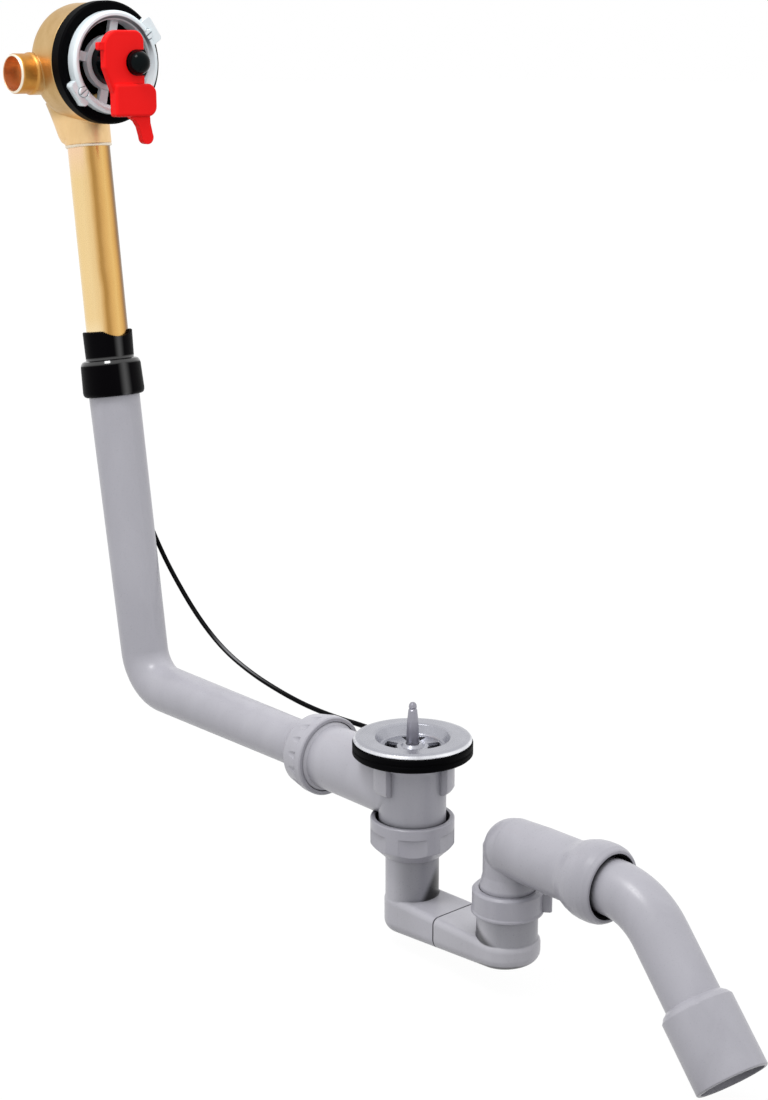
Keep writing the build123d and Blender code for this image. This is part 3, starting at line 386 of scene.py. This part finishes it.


# Painted shade down one side and in the corners at the feet of the trap's two uprights, in millimetres
# and degrees
tail = {
    "place": (0, 0, -96.0), "reach": 16.1, "edge": 0.6, "corners": [
        {"lean": 0.0, "rise": (-95.0, -45.0), "fall": (82.0, 54.0), "fade": (27.0, 24.0),
         "share": 0.5, "shade": seen(70, 72, 80)},
        {"lean": 1.9, "rise": (-32.0, -12.0), "fall": (82.0, 54.0), "fade": (26.0, 10.0),
         "share": 0.97, "shade": seen(4, 4, 6)}],
}
riser = {
    "place": (79.5, 0, -95.5), "reach": 17.7, "edge": 0.6, "corners": [
        {"lean": 0.0, "rise": (-100.0, -60.0), "fall": (82.0, 54.0), "fade": (16.0, 14.5),
         "share": 0.4, "shade": seen(96, 98, 106)},
        {"lean": -5.0, "rise": (-200.0, -180.0), "fall": (-62.0, -92.0), "fade": (13.0, 4.0),
         "share": 0.85, "shade": seen(14, 15, 20)}],
}


# Painted shade: each corner lies between two turns round the pipe, which lean as it goes up
def paintFoot(tree, colour, foot):
    pipe = placeAxis(tree, Vector(foot["place"]) * mm, partUp, partFront, partSide)
    height = pipe.outputs["Along"]
    wall = foot["reach"] * mm
    onPipe = spread(tree, pipe.outputs["Away"], wall + foot["edge"] * mm, wall)
    for corner in foot["corners"]:
        lean = mathNode(tree, "MULTIPLY", height, corner["lean"] / mm)
        turn = mathNode(tree, "SUBTRACT", pipe.outputs["Turn"], lean)
        high, low = corner["fade"]
        share = product(
            tree, onPipe, spread(tree, turn, *corner["rise"], smooth=True),
            spread(tree, turn, *corner["fall"], smooth=True),
            spread(tree, height, high * mm, low * mm, smooth=True), corner["share"])
        colour = mixColour(tree, share, colour, corner["shade"])
    return colour


def paintTail(tree, shader, colour):
    return paintFoot(tree, colour, tail)


def paintRiser(tree, shader, colour):
    return paintFoot(tree, colour, riser)


teeShade = {
    "reach": (21.5 * mm, 20.2 * mm), "height": (-13 * mm, -17 * mm), "share": 0.3,
    "shade": seen(118, 119, 128),
}


# Tee: painted shade on the plain barrel under the flange
def paintTee(tree, shader, colour):
    barrel = placeAxis(tree, wasteCentre, partUp, partFront, partSide)
    share = product(
        tree, spread(tree, barrel.outputs["Away"], *teeShade["reach"], smooth=True),
        spread(tree, barrel.outputs["Along"], *teeShade["height"], smooth=True), teeShade["share"])
    return mixColour(tree, share, colour, teeShade["shade"])


# Copies of the grey finish for single pieces, made lighter or darker as painted light and shade
def greyShadeCopy(name, pale, dark, paint=None):
    return mouldedMaterial(dict(greyLook, name=name, pale=seen(*pale), dark=seen(*dark)), paint)


greyPlastic = mouldedMaterial(greyLook)
teePlastic = greyShadeCopy("teePlastic", (181, 180, 188), (170, 169, 177), paintTee)
trapPlastic = greyShadeCopy("trapPlastic", (180, 179, 187), (170, 169, 176), paintTail)
riserPlastic = greyShadeCopy("riserPlastic", (182, 181, 188), (171, 170, 177), paintRiser)
nutPlastic = greyShadeCopy("nutPlastic", (168, 167, 175), (157, 156, 165))
outletPlastic = greyShadeCopy("outletPlastic", (168, 167, 175), (157, 156, 164))
sleeveRubber = mouldedMaterial(sleeveLook, paintSleeve)
sealRubber = mouldedMaterial(sealLook)
guardRed = mouldedMaterial(guardLook)
blackPlastic = mouldedMaterial(ballLook)
leverPlastic = mouldedMaterial(leverLook)
cableJacket = mouldedMaterial(jacketLook, paintJacket)


# The same on every metal finish
metal = {
    "cloudScale": 40.0, "stretch": 0.5, "cloudLimits": (0.3, 0.7), "gapLimits": (0.45, 0.95),
    "lineLimits": (0.3, 0.7), "smoother": 0.06, "rougher": 0.08, "lineHeight": 0.1 * mm,
}


# Metal: tint with clouding, tool lines and painted shade in gaps
def metalMaterial(look, paint=None):
    material, tree, shader = startMaterial(look["name"])
    skin = placeGroup(
        tree, skinGroup, Fine_Scale=look["fineScale"], Cloud_Scale=metal["cloudScale"],
        Stretch=metal["stretch"])
    lines = placeGroup(
        tree, toolLineGroup, Scale=look["lineScale"], Along=look["along"], Across=look["across"])
    clouds = spread(tree, skin.outputs["Cloud"], *metal["cloudLimits"])
    colour = mixColour(tree, clouds, look["dark"], look["pale"])
    if paint:
        colour = paint(tree, colour, clouds)
    colour = paintGapShade(
        tree, colour, metal["gapLimits"], look["gapReach"], look["gapShare"], look["gapShadeColour"])
    join(tree, colour, shader.inputs["Base Color"])
    smoothest = look["rough"] - metal["smoother"]
    roughest = look["rough"] + metal["rougher"]
    roughness = spread(tree, lines.outputs["Line"], *metal["lineLimits"], smoothest, roughest)
    join(tree, roughness, shader.inputs["Roughness"])
    shader.inputs["Metallic"].default_value = look["metallic"]
    under = roundedNormal(tree, look["edge"])
    addBump(tree, shader, lines.outputs["Line"], look["lineDepth"], metal["lineHeight"], under)
    return material


# The gap colours of each look below are painted shade, laid on by ambient occlusion
castLook = {
    "name": "castBrass", "pale": seen(216, 184, 134), "dark": seen(192, 156, 98), "rough": 0.42,
    "metallic": 1.0, "gapShadeColour": seen(90, 60, 26), "gapReach": 6 * mm, "gapShare": 0.8,
    "edge": 1.2 * mm, "fineScale": 900.0, "lineScale": 700.0, "along": 1.0, "across": 1.0,
    "lineDepth": 0.35,
    "neckLimits": (-30 * mm, -38 * mm), "neckPale": seen(254, 218, 164),
    "neckDark": seen(236, 200, 146),
    "stubDrop": 6.9 * mm, "stubLimits": (-36 * mm, -41 * mm), "stubPale": seen(220, 164, 88),
    "stubDark": seen(194, 136, 60), "rimLimits": (-50.7 * mm, -51.3 * mm),
    "stubRim": seen(255, 246, 226),
    "boreRadius": (11.3 * mm, 11.0 * mm), "boreLimits": (-34 * mm, -36 * mm),
    "borePale": seen(255, 214, 168), "boreDark": seen(238, 168, 118),
    "chamberRadius": (30.4 * mm, 30.1 * mm), "chamberFloor": (0.6 * mm, 0.9 * mm),
    "chamber": seen(10, 12, 14),
}
tubeLook = {
    "name": "drawnBrass", "pale": seen(236, 202, 142), "dark": seen(222, 182, 118), "rough": 0.24,
    "metallic": 1.0, "gapShadeColour": seen(110, 76, 34), "gapReach": 4 * mm, "gapShare": 0.8,
    "edge": 0.4 * mm, "fineScale": 900.0, "lineScale": 900.0, "along": 1.0, "across": 0.02,
    "lineDepth": 0.05,
    # Tones by turn round the tube in degrees: painted reflection and shade
    "reflectionStreaks": [
        (-180, (214, 172, 104)), (-150, (228, 190, 122)), (-128, (242, 214, 140)),
        (-105, (240, 210, 152)), (-64, (244, 214, 158)), (-46, (236, 202, 144)),
        (-37, (210, 166, 102)), (-31, (174, 128, 62)), (-25, (176, 130, 66)), (-18, (204, 156, 88)),
        (-10, (222, 174, 102)), (3, (234, 190, 116)), (14, (222, 172, 96)), (23, (186, 136, 70)),
        (31, (134, 92, 46)), (44, (100, 66, 32)), (80, (200, 156, 92)), (120, (232, 194, 128)),
        (180, (214, 172, 104))],
    "waver": 5.0, "reflectionShare": 0.9, "paleSide": (-150.0, -48.0, 8.0), "paleShare": 0.8,
    "footLimits": (30 * mm, 6 * mm), "footPale": seen(255, 240, 205),
    "topLimits": (120 * mm, 142 * mm), "topPink": seen(248, 210, 178),
}
chromeLook = {
    "name": "brightChrome", "pale": seen(244, 252, 255), "dark": seen(232, 244, 250), "rough": 0.2,
    "metallic": 0.1, "gapShadeColour": seen(70, 74, 82), "gapReach": 4 * mm, "gapShare": 0.75,
    "edge": 0.6 * mm, "fineScale": 900.0, "lineScale": 600.0, "along": 1.0, "across": 1.0,
    "lineDepth": 0.05,
    "grooveBand": (27.7 * mm, 29.3 * mm, 0.25 * mm), "grooveFront": (39.8 * mm, 40.2 * mm),
    "grooveStart": (6.0, 30.0), "grooveEnd": (178.0, 160.0), "grooveShare": 0.85,
    "groove": seen(40, 43, 52),
}
steelLook = {
    "name": "satinSteel", "pale": seen(178, 179, 187), "dark": seen(163, 164, 172), "rough": 0.27,
    "metallic": 0.85, "gapShadeColour": seen(62, 64, 70), "gapReach": 4 * mm, "gapShare": 0.6,
    "edge": 0.6 * mm, "fineScale": 1200.0, "lineScale": 900.0, "along": 1.0, "across": 0.3,
    "lineDepth": 0.035,
    "rimReach": (33.3 * mm, 34.6 * mm), "rimShare": (0.35, 1.0), "rim": seen(250, 251, 255),
}
pinLook = {
    "name": "pinSteel", "pale": seen(166, 165, 174), "dark": seen(146, 145, 155), "rough": 0.34,
    "metallic": 1.0, "gapShadeColour": seen(46, 46, 52), "gapReach": 3 * mm, "gapShare": 0.85,
    "edge": 0.3 * mm, "fineScale": 1200.0, "lineScale": 1400.0, "along": 0.2, "across": 1.0,
    "lineDepth": 0.06,
}
glandLook = {
    "name": "glandBrass", "pale": seen(220, 188, 134), "dark": seen(196, 162, 100), "rough": 0.25,
    "metallic": 1.0, "gapShadeColour": seen(80, 56, 24), "gapReach": 3 * mm, "gapShare": 0.8,
    "edge": 0.3 * mm, "fineScale": 1200.0, "lineScale": 1500.0, "along": 1.0, "across": 0.3,
    "lineDepth": 0.06,
}
solderLook = {
    "name": "solderTin", "pale": seen(250, 240, 222), "dark": seen(232, 214, 184), "rough": 0.3,
    "metallic": 0.6, "gapShadeColour": seen(150, 120, 80), "gapReach": 1.5 * mm, "gapShare": 0.5,
    "edge": 0.2 * mm, "fineScale": 1200.0, "lineScale": 1500.0, "along": 1.0, "across": 1.0,
    "lineDepth": 0.1,
}


# Casting: bright linished neck, ochre inlet stub with a copper-red bore, black chamber
def paintCasting(tree, colour, clouds):
    look = castLook
    neck = placeAxis(tree, headCentre, tubeUp, tubeOut, partSide)
    share = spread(tree, neck.outputs["Along"], *look["neckLimits"], smooth=True)
    bright = mixColour(tree, clouds, look["neckDark"], look["neckPale"])
    colour = mixColour(tree, share, colour, bright)
    stubCentre = headCentre - partUp * look["stubDrop"]
    stub = placeAxis(tree, stubCentre, partSide, partFront, partUp)
    along = stub.outputs["Along"]
    share = spread(tree, along, *look["stubLimits"], smooth=True)
    ochre = mixColour(tree, clouds, look["stubDark"], look["stubPale"])
    colour = mixColour(tree, share, colour, ochre)
    colour = mixColour(tree, spread(tree, along, *look["rimLimits"]), colour, look["stubRim"])
    share = product(
        tree, spread(tree, stub.outputs["Away"], *look["boreRadius"]),
        spread(tree, along, *look["boreLimits"]))
    red = mixColour(tree, clouds, look["boreDark"], look["borePale"])
    colour = mixColour(tree, share, colour, red)
    head = placeAxis(tree, headCentre, headOut, partSide, partUp)
    share = product(
        tree, spread(tree, head.outputs["Away"], *look["chamberRadius"]),
        spread(tree, head.outputs["Along"], *look["chamberFloor"]))
    return mixColour(tree, share, colour, look["chamber"])


# Clamp ring: painted shade line round the upper half of the rim's bevel
def paintRing(tree, colour, clouds):
    look = chromeLook
    ring = placeAxis(tree, headCentre, headOut, partSide, partUp)
    share = product(
        tree, band(tree, ring.outputs["Away"], *look["grooveBand"]),
        spread(tree, ring.outputs["Along"], *look["grooveFront"]),
        spread(tree, ring.outputs["Turn"], *look["grooveStart"], smooth=True),
        spread(tree, ring.outputs["Turn"], *look["grooveEnd"], smooth=True), look["grooveShare"])
    return mixColour(tree, share, colour, look["groove"])


# Flange: painted highlight along the outer edge, brighter in some places than in others
def paintFlange(tree, colour, clouds):
    look = steelLook
    flange = placeAxis(tree, wasteCentre, partUp, partFront, partSide)
    share = product(
        tree, spread(tree, flange.outputs["Away"], *look["rimReach"], smooth=True),
        spread(tree, clouds, 0.0, 1.0, *look["rimShare"]))
    return mixColour(tree, share, colour, look["rim"])


# Drawn tube: painted reflections and shade as streaks of tone along it, and on one side a paler painted
# reflection at the foot and a pinker one at the top
def paintTube(tree, colour, clouds):
    look = tubeLook
    tube = placeAxis(tree, kink, tubeUp, tubeOut, partSide)
    ramp = addNode(tree, "ShaderNodeValToRGB")
    stops = ramp.color_ramp.elements
    for index, (turn, shade) in enumerate(look["reflectionStreaks"]):
        place = (turn + 180) / 360
        stop = stops[index] if index < 2 else stops.new(place)  # a new ramp has two stops
        stop.position = place
        stop.color = (*seen(*shade), 1.0)
    sway = mathNode(tree, "MULTIPLY", mathNode(tree, "SUBTRACT", clouds, 0.5), look["waver"])
    turn = mathNode(tree, "ADD", tube.outputs["Turn"], sway)
    join(tree, spread(tree, turn, -180, 180), ramp.inputs["Fac"])
    colour = mixColour(tree, look["reflectionShare"], colour, ramp.outputs["Color"])
    side = product(tree, band(tree, tube.outputs["Turn"], *look["paleSide"]), look["paleShare"])
    for limits, shade in ((look["footLimits"], look["footPale"]), (look["topLimits"], look["topPink"])):
        share = product(tree, side, spread(tree, tube.outputs["Along"], *limits))
        colour = mixColour(tree, share, colour, shade)
    return colour


castBrass = metalMaterial(castLook, paintCasting)
drawnBrass = metalMaterial(tubeLook, paintTube)
brightChrome = metalMaterial(chromeLook, paintRing)
satinSteel = metalMaterial(steelLook, paintFlange)
pinSteel = metalMaterial(pinLook)
glandBrass = metalMaterial(glandLook)
print("materials made")

# Finish of each CAD node
finishes = {
    greyPlastic: ["overflow_nut", "overflow_pipe"],
    teePlastic: ["waste_body"],
    trapPlastic: ["trap_inlet"],
    nutPlastic: ["trap_nut", "riser_nut"],
    riserPlastic: ["trap_outlet"],
    outletPlastic: ["outlet_elbow", "outlet_bend"],
    sleeveRubber: ["coupling_sleeve"],
    sealRubber: [
        "waste_seal", "overflow_seal", "trap_cone_seal", "overflow_cone_seal", "riser_cone_seal",
        "outlet_seal", "spindle_seal", "shaft_seal"],
    castBrass: ["overflow_body", "rear_cap"],
    drawnBrass: ["riser_tube"],
    glandBrass: ["head_gland", "waste_gland"],
    brightChrome: ["clamp_ring", "clamp_screws"],
    guardRed: ["fitting_guard"],
    blackPlastic: ["spindle_bush", "control_spindle", "cable_pulley"],
    leverPlastic: ["lift_finger", "cable_lever"],
    satinSteel: ["waste_flange", "head_wire", "wire_end", "rocker_shaft"],
    pinSteel: ["lift_pin"],
    cableJacket: ["control_cable"],
}
for material, names in finishes.items():
    for name in names:
        nodes[name].data.materials.clear()
        nodes[name].data.materials.append(material)
print("finishes set")

# Wavy bead of solder in the corner between the casting's neck and the tube
solder = {
    "ring": 14.3 * mm, "bead": 1.15 * mm, "drop": 0.35 * mm, "sway": 0.7 * mm, "swell": 0.5,
    "steps": 96, "sides": 12, "seed": 7, "noiseScale": 210.0, "noiseDetail": 2.0,
}


def makeSolderTree():
    tree = bpy.data.node_groups.new("solderBead", "GeometryNodeTree")
    kinds = [("Ring", "NodeSocketFloat"), ("Bead", "NodeSocketFloat"), ("Sway", "NodeSocketFloat"),
             ("Swell", "NodeSocketFloat"), ("Seed", "NodeSocketFloat"), ("Place", "NodeSocketVector"),
             ("Turn", "NodeSocketVector"), ("Material", "NodeSocketMaterial")]
    for label, kind in kinds:
        tree.interface.new_socket(label, in_out="INPUT", socket_type=kind)
    tree.interface.new_socket("Geometry", in_out="OUTPUT", socket_type="NodeSocketGeometry")
    start = tree.nodes.new("NodeGroupInput")
    end = tree.nodes.new("NodeGroupOutput")
    circle = addNode(tree, "GeometryNodeCurvePrimitiveCircle", inputs={"Resolution": solder["steps"]})
    join(tree, start.outputs["Ring"], circle.inputs["Radius"])
    where = addNode(tree, "GeometryNodeInputPosition")
    noiseSet = {"Scale": solder["noiseScale"], "Detail": solder["noiseDetail"]}
    noise = addNode(tree, "ShaderNodeTexNoise", {"noise_dimensions": "4D"}, noiseSet)
    join(tree, where.outputs[0], noise.inputs["Vector"])
    join(tree, start.outputs["Seed"], noise.inputs["W"])
    wave = mathNode(tree, "SUBTRACT", noise.outputs[0], 0.5)
    lift = addNode(tree, "ShaderNodeCombineXYZ")
    join(tree, mathNode(tree, "MULTIPLY", wave, start.outputs["Sway"]), lift.inputs[2])
    shift = addNode(tree, "GeometryNodeSetPosition")
    join(tree, circle.outputs["Curve"], shift.inputs["Geometry"])
    join(tree, lift.outputs[0], shift.inputs["Offset"])
    thick = addNode(tree, "GeometryNodeSetCurveRadius")
    join(tree, shift.outputs[0], thick.inputs["Curve"])
    swell = mathNode(tree, "MULTIPLY", wave, start.outputs["Swell"])
    join(tree, mathNode(tree, "ADD", swell, 1.0), thick.inputs["Radius"])
    profile = addNode(tree, "GeometryNodeCurvePrimitiveCircle", inputs={"Resolution": solder["sides"]})
    join(tree, start.outputs["Bead"], profile.inputs["Radius"])
    sweep = addNode(tree, "GeometryNodeCurveToMesh")
    join(tree, thick.outputs[0], sweep.inputs["Curve"])
    join(tree, profile.outputs["Curve"], sweep.inputs["Profile Curve"])
    placed = addNode(tree, "GeometryNodeTransform")
    join(tree, sweep.outputs[0], placed.inputs["Geometry"])
    join(tree, start.outputs["Place"], placed.inputs["Translation"])
    join(tree, start.outputs["Turn"], placed.inputs["Rotation"])
    plain = addNode(tree, "GeometryNodeRealizeInstances")
    join(tree, placed.outputs[0], plain.inputs[0])
    coat = addNode(tree, "GeometryNodeSetMaterial")
    join(tree, plain.outputs[0], coat.inputs["Geometry"])
    join(tree, start.outputs["Material"], coat.inputs["Material"])
    join(tree, coat.outputs[0], end.inputs["Geometry"])
    return tree


def makeFromTree(name, tree, values):
    holder = bpy.data.objects.new(name, bpy.data.meshes.new(name + "Start"))
    bpy.context.scene.collection.objects.link(holder)
    modifier = holder.modifiers.new(name, "NODES")
    modifier.node_group = tree
    for item in tree.interface.items_tree:
        if item.in_out == "INPUT":
            modifier[item.identifier] = values[item.name]
    bpy.context.view_layer.update()
    graph = bpy.context.evaluated_depsgraph_get()
    made = bpy.data.meshes.new_from_object(holder.evaluated_get(graph))
    holder.modifiers.clear()
    holder.data = made
    return holder


solderTin = metalMaterial(solderLook)
solderPlace = neckEnd - tubeUp * solder["drop"]
solderPiece = makeFromTree("solderBead", makeSolderTree(), {
    "Ring": solder["ring"], "Bead": solder["bead"], "Sway": solder["sway"],
    "Swell": solder["swell"], "Seed": float(solder["seed"]), "Place": solderPlace[:],
    "Turn": (0.0, -tubeLean, 0.0), "Material": solderTin})
for face in solderPiece.data.polygons:
    face.use_smooth = True
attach(solderPiece, "overflow")
print("solder bead made:", len(solderPiece.data.polygons), "faces")

# Control cable from the head down behind the leg and along the branch
cable = {
    "radius": 1.6 * mm,
    "sides": 20,
    "curveSteps": 8,
    "length": 0.565,
    "route": [
        (-350.53, 7.72, 359.78), (-350.53, 7.72, 341.78), (-344.80, 9.0, 336.33),
        (-339.06, 10.0, 296.73), (-333.25, 11.0, 252.10), (-327.32, 12.0, 202.45),
        (-317.19, 13.5, 142.51), (-304.74, 17.5, 103.94), (-280.6, 20.5, 63.5), (-263.6, 21.7, 42.6),
        (-239.8, 23.0, 19.4), (-214.3, 24.2, 2.4), (-186.1, 25.4, -7.8), (-156.4, 26.3, -13.9),
        (-129.0, 27.1, -17.4), (-102.0, 28.0, -18.3), (-75.0, 28.0, -17.0), (-50.3, 28.0, -17.0)],
}


def routeLine(points, resolution):
    curve = bpy.data.curves.new("cableRoute", "CURVE")
    curve.dimensions = "3D"
    spline = curve.splines.new("NURBS")
    spline.points.add(len(points) - 1)
    for point, place in zip(spline.points, points):
        point.co = (*place, 1.0)
    spline.order_u = 3
    spline.use_endpoint_u = True
    spline.resolution_u = resolution
    holder = bpy.data.objects.new("cableRoute", curve)
    bpy.context.scene.collection.objects.link(holder)
    bpy.context.view_layer.update()
    graph = bpy.context.evaluated_depsgraph_get()
    line = bpy.data.meshes.new_from_object(holder.evaluated_get(graph))
    places = [vertex.co.copy() for vertex in line.vertices]
    bpy.data.objects.remove(holder)
    bpy.data.curves.remove(curve)
    bpy.data.meshes.remove(line)
    return places


def finishMesh(name, mesh, smooth=True):
    made = bpy.data.meshes.new(name)
    mesh.to_mesh(made)
    mesh.free()
    for face in made.polygons:
        face.use_smooth = smooth
    piece = bpy.data.objects.new(name, made)
    bpy.context.scene.collection.objects.link(piece)
    return piece


def makeTubeMesh(name, line, radius, sides):
    mesh = bmesh.new()
    rings = []
    side = partSide
    for index, place in enumerate(line):
        before = line[max(index - 1, 0)]
        after = line[min(index + 1, len(line) - 1)]
        along = (after - before).normalized()
        side = (side - along * side.dot(along)).normalized()
        across = along.cross(side)
        ring = []
        for step in range(sides):
            angle = 2 * math.pi * step / sides
            out = math.cos(angle) * side + math.sin(angle) * across
            ring.append(mesh.verts.new(place + radius * out))
        rings.append(ring)
    for first, second in zip(rings, rings[1:]):
        for step in range(sides):
            after = (step + 1) % sides
            mesh.faces.new((first[step], first[after], second[after], second[step]))
    mesh.faces.new(tuple(reversed(rings[0])))
    mesh.faces.new(tuple(rings[-1]))
    bmesh.ops.recalc_face_normals(mesh, faces=mesh.faces)
    return finishMesh(name, mesh)


cableRoute = [Vector(place) * mm for place in cable["route"]]
cableLine = routeLine(cableRoute, cable["curveSteps"])
cablePiece = makeTubeMesh("controlCable", cableLine, cable["radius"], cable["sides"])
cablePiece.data.materials.append(cableJacket)
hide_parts("control_cable")
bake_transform(cablePiece)
cableSpan = sum((after - before).length for before, after in zip(cableLine, cableLine[1:]))
print("cable length", round(cableSpan, 4))

# Stage: floor, world, lamp and camera
stage = {
    "floorDrop": 0.5 * mm,
    "floorHalf": 40.0,
    "floorColour": (0.36, 0.36, 0.36, 1),
    "floorRough": 0.9,
    "floorGlow": 1.12,
    "floorShare": 0.86,
    "white": (1, 1, 1, 1),
    "worldLevel": 1.05,
    "cameraPlace": (0.7978, -0.7405, 0.3869),
    "cameraAzimuth": 48.02,
    "cameraElevation": 14.02,
    "cameraLens": 64.07,
    "cameraSensor": 36.0,
}


# One for rays that see the backdrop itself, from the camera or by way of a shiny surface
def seenDirectly(tree):
    path = addNode(tree, "ShaderNodeLightPath")
    direct = mathNode(tree, "MAXIMUM", path.outputs["Is Camera Ray"], path.outputs["Is Glossy Ray"])
    return mathNode(tree, "MAXIMUM", direct, path.outputs["Is Transmission Ray"])


def blendShaders(tree, share, first, second, end):
    blend = addNode(tree, "ShaderNodeMixShader")
    join(tree, share, blend.inputs[0])
    join(tree, first.outputs[0], blend.inputs[1])
    join(tree, second.outputs[0], blend.inputs[2])
    join(tree, blend.outputs[0], tree.nodes[end].inputs["Surface"])


def makeFloor():
    level = cadLow.z - stage["floorDrop"]
    half = stage["floorHalf"]
    mesh = bmesh.new()
    corners = ((-half, -half), (half, -half), (half, half), (-half, half))
    mesh.faces.new([mesh.verts.new((x, y, level)) for x, y in corners])
    floor = finishMesh("studioFloor", mesh, smooth=False)
    material, tree, shader = startMaterial("paleFloor")
    shader.inputs["Base Color"].default_value = stage["floorColour"]
    shader.inputs["Roughness"].default_value = stage["floorRough"]
    shader.inputs["Specular IOR Level"].default_value = 0.0
    glowSet = {"Color": stage["white"], "Strength": stage["floorGlow"]}
    glow = addNode(tree, "ShaderNodeEmission", inputs=glowSet)
    share = product(tree, seenDirectly(tree), stage["floorShare"])
    blendShaders(tree, share, shader, glow, "Material Output")
    floor.data.materials.append(material)


def makeWorld():
    world = bpy.data.worlds.new("studioWorld")
    bpy.context.scene.world = world
    world.use_nodes = True
    tree = world.node_tree
    light = tree.nodes["Background"]
    light.inputs["Color"].default_value = stage["white"]
    light.inputs["Strength"].default_value = stage["worldLevel"]
    backdrop = addNode(tree, "ShaderNodeBackground", inputs={"Color": stage["white"], "Strength": 1.0})
    blendShaders(tree, seenDirectly(tree), light, backdrop, "World Output")


lamp = {
    "name": "keyPanel", "azimuth": 0.0, "elevation": 68.0, "far": 1.6, "size": 0.46, "power": 11.0,
}


# Direction back from the part, by azimuth round it and elevation over it in degrees
def aim(azimuth, elevation):
    turn = math.radians(azimuth)
    rise = math.radians(elevation)
    flat = math.cos(rise)
    return Vector((math.sin(turn) * flat, -math.cos(turn) * flat, math.sin(rise)))


def setUp(name, data, place, back):
    holder = bpy.data.objects.new(name, data)
    holder.location = place
    holder.rotation_mode = "QUATERNION"
    holder.rotation_quaternion = (-back).to_track_quat("-Z", "Y")
    bpy.context.scene.collection.objects.link(holder)
    return holder


def makeLamp():
    data = bpy.data.lights.new(lamp["name"], "AREA")
    data.shape = "SQUARE"
    data.size = lamp["size"]
    data.energy = lamp["power"]
    back = aim(lamp["azimuth"], lamp["elevation"])
    middle = (cadLow + cadHigh) / 2
    setUp(lamp["name"], data, middle + back * lamp["far"], back)


def makeCamera():
    data = bpy.data.cameras.new("photoCamera")
    data.lens = stage["cameraLens"]
    data.sensor_width = stage["cameraSensor"]
    back = aim(stage["cameraAzimuth"], stage["cameraElevation"])
    bpy.context.scene.camera = setUp("photoCamera", data, stage["cameraPlace"], back)


makeFloor()
makeWorld()
makeLamp()
makeCamera()
bpy.context.scene.view_settings.view_transform = "Standard"
print("stage set")
